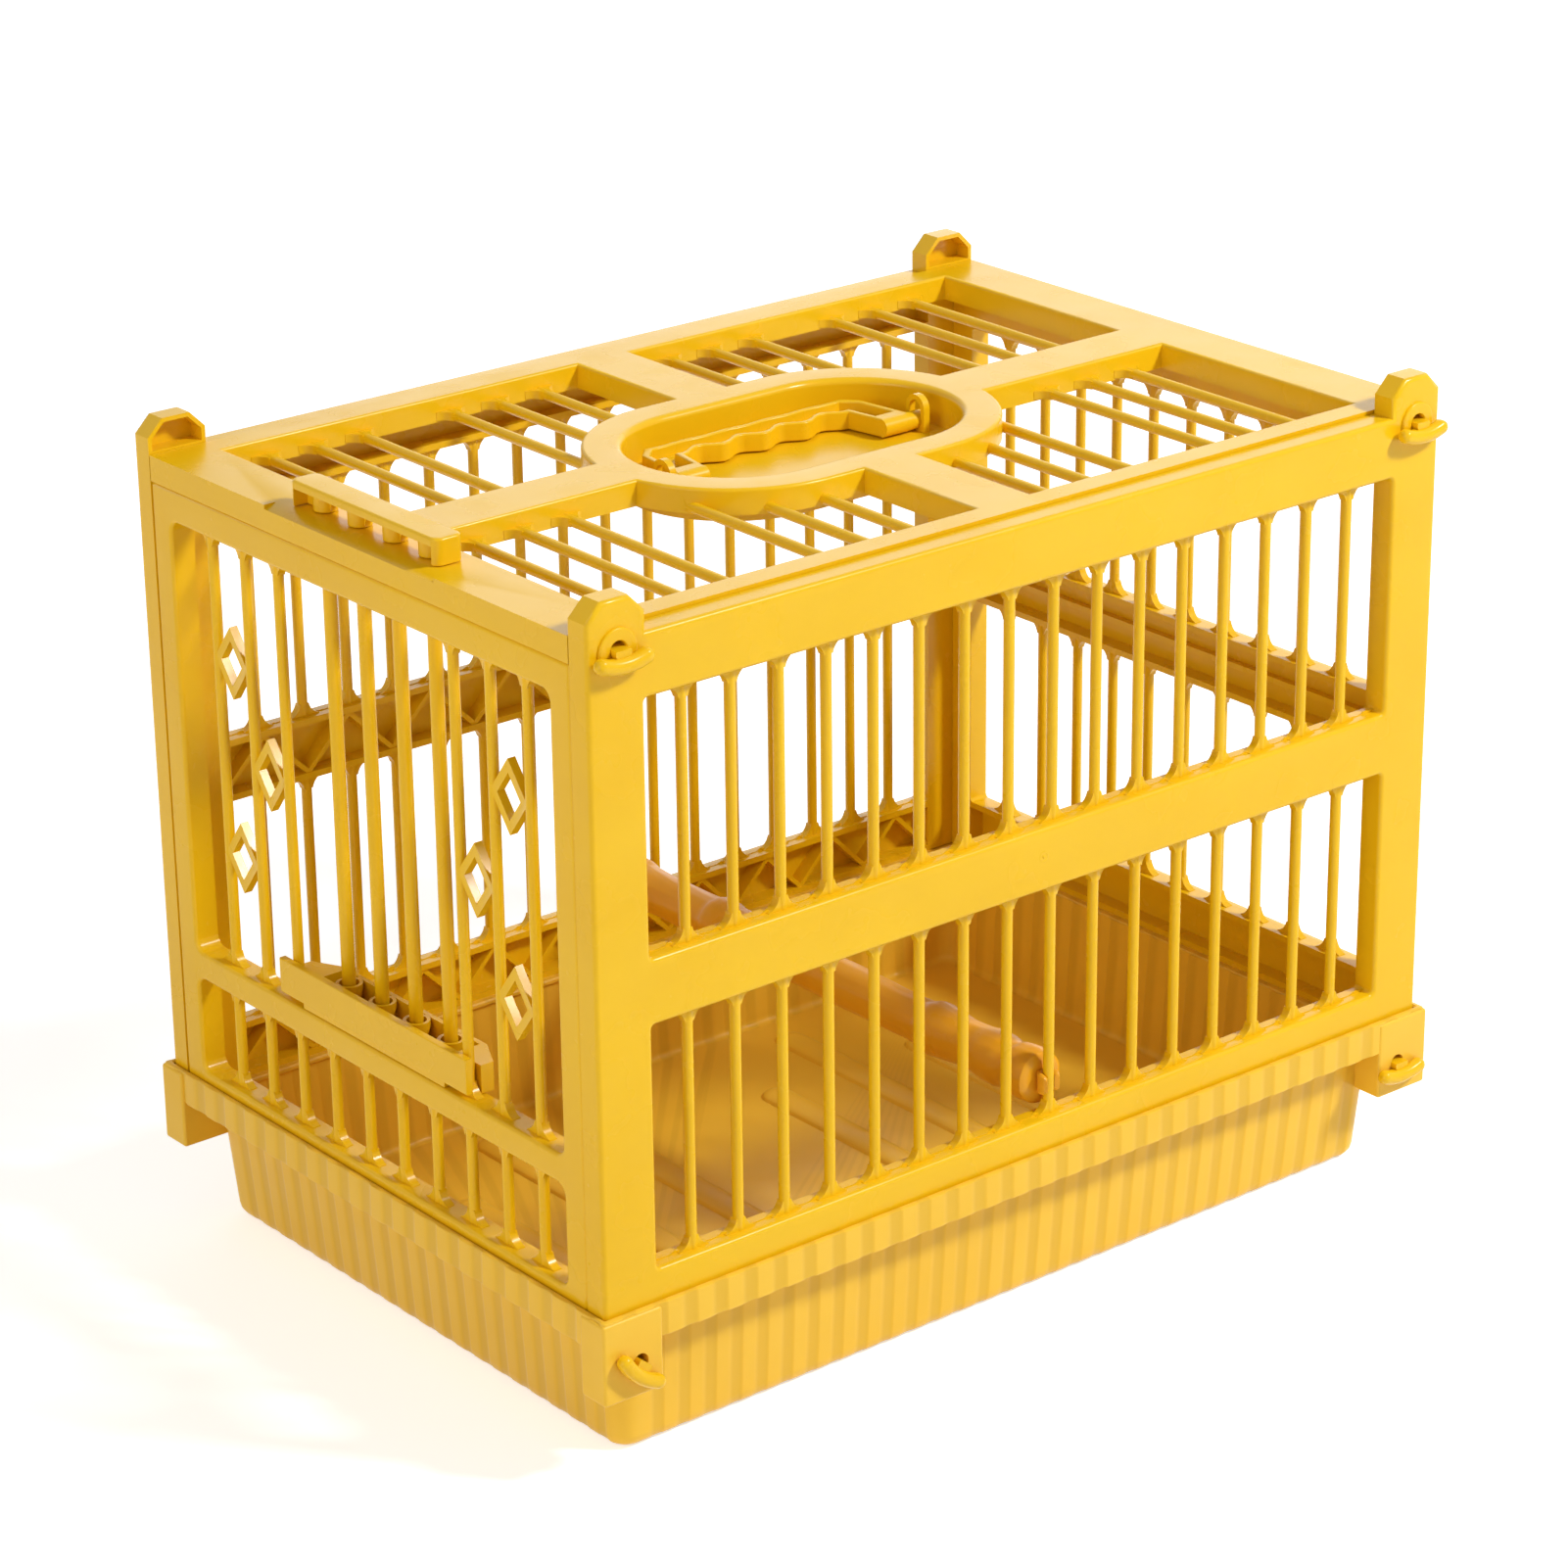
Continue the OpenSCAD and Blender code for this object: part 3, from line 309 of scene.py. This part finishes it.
bottom_turns = [math.radians(a) for a in (90, 65, 45, 25, 0)]
outside = [tub_line(tub_draft + tub_edge * (1 - math.cos(a)), tub_edge * (1 - math.sin(a)),
                    flute_depth * (1 if a < fade_turn else faded)) for a in bottom_turns]
outside.append(tub_line(0, tub_top, flute_depth))
inner_edge = tub_edge - tub_wall
inside = [tub_line(tub_wall, tub_top, flute_depth)]
inside += [tub_line(tub_wall + tub_draft + inner_edge * (1 - math.cos(a)),
                    tub_wall + inner_edge * (1 - math.sin(a)),
                    flute_depth * (1 if a < fade_turn else 0)) for a in reversed(bottom_turns)]
tub_rows = skin_between(tray_shape, outside + inside, shade=shade_layer)
tray_shape.faces.new(list(reversed(tub_rows[0])))
tray_shape.faces.new(tub_rows[-1])

rim_corner = 1.6 * MM
rim_flute = 0.4 * MM
rim_back = 0.45 * MM
rim_ease = 0.3
lip_round = 0.6 * MM
least_corner = 0.5 * MM


def rim_line(inset, height, depth=0.0):
    corner = max(rim_corner - inset / 2, least_corner)
    return fluted_line(rim_x - inset, rim_y - inset, corner, height, depth)


rim_edge = 0.8 * MM
nose = 0.5 * MM
wall_cover = 0.05 * MM
ledge_reach = rim_x - tub_x + tub_wall - wall_cover
rim_section = [
    rim_line(ledge_reach, rim_under + nose),
    rim_line(ledge_reach - nose, rim_under),
    rim_line(rim_back + rim_edge + rim_flute, rim_under),
    rim_line(rim_back + rim_ease * rim_edge, rim_under + rim_ease * rim_edge, rim_flute),
    rim_line(rim_back, rim_under + rim_edge, rim_flute),
    rim_line(rim_back, rim_top - rim_edge, rim_flute),
    rim_line(rim_back + rim_ease * rim_edge, rim_top - rim_ease * rim_edge, rim_flute),
    rim_line(rim_back + rim_edge, rim_top, 0.5 * rim_flute),
    rim_line(rim_wall - lip_round, rim_top),
    rim_line(rim_wall, rim_top - lip_round),
    rim_line(rim_wall, ledge_top),
    rim_line(ledge_reach - nose, ledge_top),
    rim_line(ledge_reach, ledge_top - nose),
]
skin_between(tray_shape, rim_section, closed=True, shade=shade_layer)

floor_ribs = 3
rib_step, rib_half_width = 32.8 * MM, 5.8 * MM
rib_reaches = (58.2 * MM, 91.2 * MM)
# the rounded flank of a rib: how far in from its foot, and how high above the floor
rib_flank = ((-0.5, -0.4), (0, 0.1), (0.25, 0.7), (0.8, 1.25), (1.8, 1.65), (3.2, 1.9), (4.8, 2.0))


def stadium(centre_x, width, length, height, steps=10):
    """Outline of a rib with round ends, lying along Y."""
    r = width / 2
    line = []
    for end in (1, -1):
        for step in range(steps + 1):
            turn = math.pi * step / steps + (0 if end == 1 else math.pi)
            line.append(Vector((centre_x + r * math.cos(turn), end * (length / 2 - r) + r * math.sin(turn),
                                height)))
    return line, [0] * len(line)


for side in (-1, 1):
    for rib in range(floor_ribs):
        x = side * (rib + 1) * rib_step
        reach = rib_reaches[rib % 2]
        rib_lines = [stadium(x, 2 * (rib_half_width - inset * MM), 2 * (reach - inset * MM),
                             tub_wall + rise * MM) for inset, rise in rib_flank]
        rib_rows = skin_between(tray_shape, rib_lines, shade=shade_layer)
        tray_shape.faces.new(list(reversed(rib_rows[0])))
        tray_shape.faces.new(rib_rows[-1])

leg_width, leg_reach = 22.0 * MM, 11.8 * MM
leg_foot = 27.4 * MM
leg_hollow_x, leg_hollow_y = 16.6 * MM, 6.4 * MM
leg_edge, leg_edge_steps = 1.0 * MM, 3
leg_below_rim = 0.7 * MM
pin_x, leg_pin_z = 159.5 * MM, 38.4 * MM
bore_diameter, bore_length, bore_sides = 5.72 * MM, 20 * MM, 32
bore_y = 115 * MM
past_end = 5 * MM


def box_shape(low, high, edge=0.0, steps=2):
    """A box between two corners, with its edges rounded."""
    shape = bmesh.new()
    bmesh.ops.create_cube(shape, size=1)
    middle, size = (low + high) / 2, high - low
    for corner in shape.verts:
        corner.co = middle + Vector(corner.co[i] * size[i] for i in range(3))
    if edge:
        bmesh.ops.bevel(shape, geom=shape.edges[:], offset=edge, segments=steps, profile=0.5, affect="EDGES")
    return shape


def cut_away(mesh, cutters):
    """The mesh with the cutting shapes taken out of it."""
    body = bpy.data.objects.new("blank", mesh)
    bpy.context.scene.collection.objects.link(body)
    tools = []
    for shape in cutters:
        cutter_mesh = bpy.data.meshes.new("cutter")
        shape.to_mesh(cutter_mesh)
        shape.free()
        tool = bpy.data.objects.new("cutter", cutter_mesh)
        bpy.context.scene.collection.objects.link(tool)
        cut = body.modifiers.new("cut", "BOOLEAN")
        cut.operation = "DIFFERENCE"
        cut.solver = "EXACT"
        cut.object = tool
        tools.append(tool)
    view = bpy.context.evaluated_depsgraph_get()
    result = bpy.data.meshes.new_from_object(body.evaluated_get(view))
    for extra in [body] + tools:
        bpy.data.objects.remove(extra)
    return result


leg_shape = box_shape(Vector((rim_x - leg_width, rim_y - leg_reach, leg_foot)),
                      Vector((rim_x, rim_y, rim_top - leg_below_rim)), leg_edge, leg_edge_steps)
leg_mesh = bpy.data.meshes.new("leg")
leg_shape.to_mesh(leg_mesh)
leg_shape.free()
inner_x, inner_y = rim_x - rim_wall, rim_y - rim_wall
pocket_top = Vector((inner_x, inner_y, rim_top + past_end))
pocket = box_shape(Vector((inner_x - leg_hollow_x, inner_y - leg_hollow_y, leg_foot - past_end)), pocket_top)
seat_cut = box_shape(Vector((0, 0, ledge_top)), pocket_top)
drill = bmesh.new()
bmesh.ops.create_cone(drill, cap_ends=True, segments=bore_sides, radius1=bore_diameter / 2,
                      radius2=bore_diameter / 2, depth=bore_length)
bmesh.ops.transform(drill, verts=drill.verts, matrix=Matrix.Translation((pin_x, bore_y, leg_pin_z))
                    @ Matrix.Rotation(math.pi / 2, 4, "X"))
leg_mesh = cut_away(leg_mesh, [pocket, seat_cut, drill])
for flip_x in (1, -1):
    for flip_y in (1, -1):
        before = set(tray_shape.faces)
        start = len(tray_shape.verts)
        tray_shape.from_mesh(leg_mesh)
        tray_shape.verts.ensure_lookup_table()
        for corner in tray_shape.verts[start:]:
            corner.co.x *= flip_x
            corner.co.y *= flip_y
        if flip_x * flip_y < 0:
            bmesh.ops.reverse_faces(tray_shape, faces=[f for f in tray_shape.faces if f not in before])

tray_mesh = bpy.data.meshes.new("tray_shell")
tray_shape.to_mesh(tray_mesh)
tray_shape.free()
tray_shell = piece("tray_shell", tray_mesh, tray_plastic, smooth_angle=32)
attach(tray_shell, "cage")
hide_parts("tray")


# ---------------------------------------------------------------------------------------------
# Long side panels: each is one moulding in bright, glossier yellow plastic, hollow behind, with two
# windows of round bars. It stands in the tray's rim with a tab in each of two legs, and has an ear
# at each end for the upper lock pins.
panel_plastic = moulded_plastic("panel_plastic", (0.83, 0.50, 0.006), (0.80, 0.47, 0.004), 0.24)
half_depth = 117.0 * MM
window_half = 150.0 * MM
window_feet = (64.9 * MM, 164.4 * MM)
edge_round = 1.5 * MM
ring_height, ring_round = 1.0 * MM, 0.5 * MM
# height of a pin's bore and the reach of what surrounds it
bores = ((261.4 * MM, 8 * MM), (leg_pin_z, 4 * MM))
edge_steps = 3
# how near counts as standing at a place, and how near two corners are taken as one
at_place, same_corner = 0.03 * MM, 0.002 * MM
flat_angle, edge_angle = math.radians(0.5), math.radians(40)
fill_inside, fill_tolerance = 1, 1e-6


def set_back(shape, axis, place, by):
    """Moves the faces that stand at a place along an axis inwards, on both sides, to open a seam."""
    for corner in shape.verts:
        if abs(abs(corner.co[axis]) - place) < at_place:
            corner.co[axis] -= math.copysign(by, corner.co[axis])


def fill_cleanly(shape):
    """Cuts each face of many corners into triangles that keep to its outline."""
    for face in [f for f in shape.faces if len(f.verts) > 4]:
        face.normal_update()
        flat = face.normal.to_track_quat("Z", "Y").to_matrix().inverted()
        corners = face.verts[:]
        outline = [(flat @ corner.co).to_2d() / MM for corner in corners]
        _, _, triangles, sources, _, _ = delaunay_2d_cdt(outline, [], [range(len(outline))], fill_inside,
                                                         fill_tolerance)
        if any(not source for source in sources):
            continue
        at = [corners[source[0]] for source in sources]
        for a, b, c in triangles:
            shape.faces.new((at[a], at[b], at[c]))
        shape.faces.remove(face)


def moulded(node, rims, seam=None):
    """The solid's mesh with its edges rounded. A rim says which edges, as the axis and place of the
    face that they bound, the radius, and a test for those that are meant."""
    shape = bmesh.new()
    shape.from_mesh(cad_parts[node].data)
    if seam:
        set_back(shape, *seam)
    bmesh.ops.remove_doubles(shape, verts=shape.verts, dist=same_corner)
    bmesh.ops.dissolve_limit(shape, angle_limit=flat_angle, verts=shape.verts, edges=shape.edges)
    for axis, place, radius, *meant in rims:
        chosen = []
        for edge in shape.edges:
            if len(edge.link_faces) != 2 or edge.calc_face_angle(0) < edge_angle:
                continue
            ends = [corner.co for corner in edge.verts]
            if all(abs(end[axis] - place) < at_place for end in ends) and (not meant or meant[0](*ends)):
                chosen.append(edge)
        bmesh.ops.bevel(shape, geom=chosen, offset=radius, segments=edge_steps, profile=0.5, affect="EDGES",
                        clamp_overlap=False, loop_slide=False)
    fill_cleanly(shape)
    mesh = bpy.data.meshes.new(node)
    shape.to_mesh(mesh)
    shape.free()
    # the solid's own shading doesn't fit the new edges
    stale = mesh.attributes.get("custom_normal")
    if stale:
        mesh.attributes.remove(stale)
    return mesh


bar_count = 16
bar_radius = 1.75 * MM
bar_pitch = (2 * window_half + 2 * bar_radius) / (bar_count + 1)
bar_behind = 4.75 * MM
flash_wall = 0.3 * MM
flash_steps = 12
flash_root = 0.3 * MM
# in millimetres: the web's least rise, what it gains towards a gap's ends, and a lump in it
flash_least, flash_ends, flash_lump = 0.25, 1.0, 1.1
lump_start, lump_end = 0.62, 0.8
# how fast the raggedness changes from gap to gap and along one, and how steeply the ends rise
ragged_step, ragged_run, ends_curve = 3.1, 9.7, 1.5
mark_x, mark_z, mark_sides = 1.8 * MM, 154.9 * MM, 20
# radius and height of the mark that the mould's inlet leaves on the front middle rail
mark_profile = ((2.1, -0.05), (1.75, 0.1), (1.4, 0.12), (1.15, -0.02), (0.6, 0.0), (0.45, 0.22),
                (0.2, 0.28))


def add_flash(mesh, side, bottom, seed):
    """A thin ragged web along the foot of a window, where the two halves of the mould meet."""
    shape = bmesh.new()
    shape.from_mesh(mesh)
    y = side * (half_depth - bar_behind)
    for gap in range(bar_count + 1):
        start = -window_half + gap * bar_pitch
        tops = []
        for step in range(flash_steps + 1):
            share = step / flash_steps
            ragged = 0.5 + 0.5 * noise.noise(Vector((gap * ragged_step + share * ragged_run, seed, 0)))
            lump = flash_lump if lump_start < share < lump_end else 0
            ends = flash_ends * ragged * (abs(2 * share - 1) ** ends_curve)
            rise = flash_least + ends + lump * ragged
            tops.append((start + share * (bar_pitch - 2 * bar_radius), bottom + rise * MM))
        faces = []
        for depth in (y - flash_wall / 2, y + flash_wall / 2):
            line = [(x, depth, z) for x, z in tops]
            feet = [(x, depth, bottom - flash_root) for x, z in tops]
            faces.append(([shape.verts.new(p) for p in line], [shape.verts.new(p) for p in feet]))
        (top_a, foot_a), (top_b, foot_b) = faces
        for k in range(flash_steps):
            shape.faces.new((foot_a[k], foot_a[k + 1], top_a[k + 1], top_a[k]))
            shape.faces.new((foot_b[k + 1], foot_b[k], top_b[k], top_b[k + 1]))
            shape.faces.new((top_a[k], top_a[k + 1], top_b[k + 1], top_b[k]))
            shape.faces.new((foot_a[k + 1], foot_a[k], foot_b[k], foot_b[k + 1]))
        shape.faces.new((foot_a[0], top_a[0], top_b[0], foot_b[0]))
        shape.faces.new((foot_a[-1], foot_b[-1], top_b[-1], top_a[-1]))
    shape.to_mesh(mesh)
    shape.free()


def add_inlet_mark(mesh):
    """A small round scar with a nib in its middle, standing on the front face."""
    shape = bmesh.new()
    shape.from_mesh(mesh)
    rows = []
    for radius, rise in mark_profile:
        turns = [2 * math.pi * k / mark_sides for k in range(mark_sides)]
        rows.append([shape.verts.new((mark_x + radius * MM * math.cos(turn), -half_depth - rise * MM,
                                      mark_z + radius * MM * math.sin(turn))) for turn in turns])
    for outer_row, inner_row in zip(rows, rows[1:]):
        for k in range(mark_sides):
            after = (k + 1) % mark_sides
            shape.faces.new((outer_row[k], outer_row[after], inner_row[after], inner_row[k]))
    shape.faces.new(rows[-1])
    shape.faces.new(list(reversed(rows[0])))
    shape.to_mesh(mesh)
    shape.free()


def off_bores(a, b):
    """Whether an edge of a panel's face keeps clear of the pins' bores and their rings."""
    return all(math.hypot(abs(a.x) - pin_x, a.z - height) > reach for height, reach in bores)


for name, node, side in (("front_side", "side_panel_front", -1), ("back_side", "side_panel_back", 1)):
    mesh = moulded(node, [(1, side * half_depth, edge_round, off_bores),
                          (1, side * (half_depth + ring_height), ring_round)])
    for bottom in window_feet:
        add_flash(mesh, side, bottom, bottom / MM + side)
    if side == -1:
        add_inlet_mark(mesh)
    panel = piece(name, mesh, panel_plastic)
    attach(panel, "cage")
    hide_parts(node)


# ---------------------------------------------------------------------------------------------
# End panels: two mouldings in the sides' plastic, fitted between the sides' corner posts. The gate
# end has a low barred window and the tall opening of the lift gate between barred strips with
# diamonds. The rear end has two windows level with those of the sides.
half_length = 170.0 * MM
end_round = 1.3 * MM
end_seam = (1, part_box("gate_end_panel")[1].y, 0.3 * MM)
for name, node, side in (("gate_end", "gate_end_panel", -1), ("rear_end", "rear_end_panel", 1)):
    panel = piece(name, moulded(node, [(0, side * half_length, end_round)], end_seam), panel_plastic)
    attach(panel, "cage")
    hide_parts(node)


# ---------------------------------------------------------------------------------------------
# Top panel: one moulding in the same plastic, a frame with a spine, a cross rib and four windows of
# sunk bars, held by the pins in the sides' ears. The oval well in its middle is for the handle, and
# the well's lip is rounded more than the other edges.
top_surface = 265.6 * MM
well_radius, well_straight = 34.6 * MM, 24.5 * MM
well_lip, window_round = 2.2 * MM, 1.1 * MM
near_lip = 0.1 * MM
top_seam = (1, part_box("top_panel")[1].y, 0.2 * MM)
outline_x, outline_y = 161 * MM, 108 * MM
bearing_y, rods_x, rods_y = 2 * MM, 150 * MM, 40 * MM


def at_well(a, b):
    """Whether an edge of the top surface runs round the well."""
    return all(abs(math.hypot(max(0, abs(end.x) - well_straight), end.y) - well_radius) < near_lip
               for end in (a, b))


def at_window(a, b):
    """Whether an edge of the top surface bounds a window, clear of the well, the handle's bearings,
    the rods' holes and the panel's outline."""
    if at_well(a, b):
        return False
    for end in (a, b):
        if abs(end.x) > outline_x or abs(end.y) > outline_y:
            return False
        if abs(end.y) < bearing_y or (end.x < -rods_x and abs(end.y) < rods_y):
            return False
    return True


top_mesh = moulded("top_panel", [(2, top_surface, well_lip, at_well),
                                 (2, top_surface, window_round, at_window)], top_seam)
top_piece = piece("top_frame", top_mesh, panel_plastic)
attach(top_piece, "cage")
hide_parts("top_panel")


# ---------------------------------------------------------------------------------------------
# Carrying handle: a U moulded in the same plastic, with finger hollows along its grip and a groove
# along its top. It turns on a stub at the foot of each arm, and lies folded in the well.
handle_low, handle_high = 254.1 * MM, 260.3 * MM
foot_y = 1 * MM
grip_round = 0.6 * MM


def off_foot(a, b):
    """Whether an edge keeps clear of the arms' feet."""
    return max(a.y, b.y) > foot_y


handle_mesh = moulded("handle", [(2, handle_high, grip_round, off_foot),
                                 (2, handle_low, grip_round, off_foot)])
handle_piece = piece("carrying_handle", handle_mesh, panel_plastic)
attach(handle_piece, "handle")
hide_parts("handle")


# ---------------------------------------------------------------------------------------------
# Lift gate: four round rods pressed into a pull bar on top and into the cups of a sill below, all
# in the same plastic. It slides up through holes in the top panel. The rods are plain, and are
# shown as the solids are.
pull_low, pull_high = 265.9 * MM, 274.3 * MM
pull_top_round, pull_foot_round = 0.9 * MM, 0.3 * MM
sill_face, sill_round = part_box("gate_sill")[0].x, 0.4 * MM
pull_mesh = moulded("gate_pull_bar", [(2, pull_high, pull_top_round), (2, pull_low, pull_foot_round)])
pull_piece = piece("pull_bar", pull_mesh, panel_plastic)
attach(pull_piece, "gate")
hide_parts("gate_pull_bar")
sill_mesh = moulded("gate_sill", [(0, sill_face, sill_round)])
sill_piece = piece("gate_sill_trough", sill_mesh, panel_plastic)
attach(sill_piece, "gate")
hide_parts("gate_sill")
for row in (1, 2, 3, 4):
    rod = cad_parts[f"gate_rod_{row}"]
    for held in rod.material_slots:
        held.material = panel_plastic


# ---------------------------------------------------------------------------------------------
# Perch: one moulding in a darker, more orange plastic, shaped like a peeled branch with knots, a
# collar at each end and faint grain along it. A claw at each end clips round a bar of a long side.
perch_x, perch_z = 8.926 * MM, 74.9 * MM
perch_end = 109.3 * MM
perch_steps, perch_sides = 150, 56
bar_y = 112.25 * MM
# radius along the perch, from the front end to the back end, in millimetres
perch_profile = ((-109.3, 6.4), (-108.6, 8.0), (-107.4, 8.9), (-104.0, 9.2), (-99.5, 8.9), (-97.5, 7.9),
                 (-96.0, 7.8), (-91.0, 8.7), (-86.0, 8.6), (-80.0, 7.9), (-74.0, 7.8), (-66.0, 8.5),
                 (-60.0, 9.1), (-57.5, 9.0), (-56.0, 7.8), (-48.0, 7.5), (-10.0, 7.6), (20.0, 7.5),
                 (44.0, 7.8), (50.0, 8.8), (54.0, 8.9), (56.5, 7.7), (80.0, 7.5), (94.0, 7.8), (97.0, 8.9),
                 (105.0, 9.1), (108.0, 8.7), (109.3, 6.4))
claw_inner, claw_wall, claw_height = 1.9 * MM, 1.7 * MM, 7.0 * MM
claw_open = math.radians(48)
claw_edge = 0.45 * MM
# over how much turn a claw's finger narrows to its tip, and what is left of its height there
tip_turn, tip_share = 0.7, 0.62
# the branch's bend, and its grain and lumps: how high in millimetres, how long, how fine around it
bend_height, bend_length = 0.25 * MM, 26 * MM
grain_height, grain_length, grain_turns = 0.22, 22 * MM, 5.5
lump_height, lump_length, lump_turns, lump_shift = 0.3, 11 * MM, 1.3, 7
widest = 9.4 * MM
neck_half, neck_in, neck_gap, neck_edge = 2.2 * MM, 1 * MM, 0.4 * MM, 0.5 * MM


def perch_radius(y):
    """The branch's radius at y: smooth between the points of its profile."""
    y = y / MM
    for (low, a), (high, b) in zip(perch_profile, perch_profile[1:]):
        if y <= high:
            share = max(0, min(1, (y - low) / (high - low)))
            return (a + (b - a) * share * share * (3 - 2 * share)) * MM
    return perch_profile[-1][1] * MM


def perch_line(y):
    """One ring of the branch, with the grain pressed into it and a slight bend."""
    ring = []
    bend = bend_height * math.sin(y / bend_length)
    for step in range(perch_sides):
        turn = 2 * math.pi * step / perch_sides
        around = Vector((math.cos(turn), 0, math.sin(turn)))
        grain = noise.noise(Vector((around.x * grain_turns, y / grain_length, around.z * grain_turns)))
        lumps = noise.noise(Vector((around.x * lump_turns, y / lump_length,
                                    around.z * lump_turns + lump_shift)))
        r = min(perch_radius(y) + (grain_height * grain + lump_height * lumps) * MM, widest)
        ring.append(Vector((perch_x + bend, y, perch_z)) + around * r)
    return ring, [0] * perch_sides


perch_shape = bmesh.new()
shade_layer = perch_shape.verts.layers.float.new("sunk")
perch_places = [-perch_end + 2 * perch_end * step / perch_steps for step in range(perch_steps + 1)]
perch_rows = skin_between(perch_shape, [perch_line(y) for y in perch_places], shade=shade_layer)
perch_shape.faces.new(perch_rows[0])
perch_shape.faces.new(list(reversed(perch_rows[-1])))
bmesh.ops.recalc_face_normals(perch_shape, faces=perch_shape.faces)


def claw_section(turn, end):
    """A section through a claw's finger, at that angle from its open side."""
    near_tip = min(1, (turn - claw_open) / tip_turn, (2 * math.pi - claw_open - turn) / tip_turn)
    high = claw_height * (tip_share + (1 - tip_share) * math.sqrt(max(0, near_tip))) / 2
    out = Vector((math.sin(turn), end * math.cos(turn), 0))
    outer = claw_inner + claw_wall
    section = ((claw_inner, -high + claw_edge), (claw_inner + claw_edge, -high), (outer - claw_edge, -high),
               (outer, -high + claw_edge), (outer, high - claw_edge), (outer - claw_edge, high),
               (claw_inner + claw_edge, high), (claw_inner, high - claw_edge))
    return [Vector((perch_x, end * bar_y, perch_z + z)) + out * r for r, z in section], [0] * len(section)


claw_steps = 26
for end in (-1, 1):
    turns = [claw_open + (2 * math.pi - 2 * claw_open) * step / claw_steps for step in range(claw_steps + 1)]
    fingers = bmesh.new()
    claw_rows = skin_between(fingers, [claw_section(turn, end) for turn in turns])
    fingers.faces.new(claw_rows[0])
    fingers.faces.new(list(reversed(claw_rows[-1])))
    bmesh.ops.recalc_face_normals(fingers, faces=fingers.faces)
    near, far = sorted((end * (perch_end - neck_in), end * (bar_y - claw_inner - neck_gap)))
    neck = box_shape(Vector((perch_x - neck_half, near, perch_z - claw_height / 2)),
                     Vector((perch_x + neck_half, far, perch_z + claw_height / 2)), neck_edge)
    for part in (fingers, neck):
        part_mesh = bpy.data.meshes.new("claw")
        part.to_mesh(part_mesh)
        part.free()
        perch_shape.from_mesh(part_mesh)
perch_mesh = bpy.data.meshes.new("perch_branch")
perch_shape.to_mesh(perch_mesh)
perch_shape.free()
perch_plastic = moulded_plastic("perch_plastic", (0.80, 0.38, 0.014), (0.74, 0.33, 0.01), 0.3)
perch_branch = piece("perch_branch", perch_mesh, perch_plastic)
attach(perch_branch, "cage")
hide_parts("perch")


# ---------------------------------------------------------------------------------------------
# Lock pins: each is a moulded half-round shaft in a bore, with a rounded cross bar in front that
# the fingers turn to lock a corner. Four hold the top panel between the ears, and four hold the
# sides' tabs in the tray's legs.
cross_bar_t = 4.2 * MM
front_round, behind_round = 1.8 * MM, 1.2 * MM
for level in ("top", "leg"):
    for corner in ("front_gate", "front_rear", "back_gate", "back_rear"):
        node = f"lock_pin_{level}_{corner}"
        low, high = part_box(node)
        outer = low.y if corner.startswith("front") else high.y
        inner = outer + (cross_bar_t if corner.startswith("front") else -cross_bar_t)
        pin_mesh = moulded(node, [(1, outer, front_round), (1, inner, behind_round)])
        pin = piece(f"turn_{level}_{corner}", pin_mesh, panel_plastic)
        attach(pin, node)
        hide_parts(node)
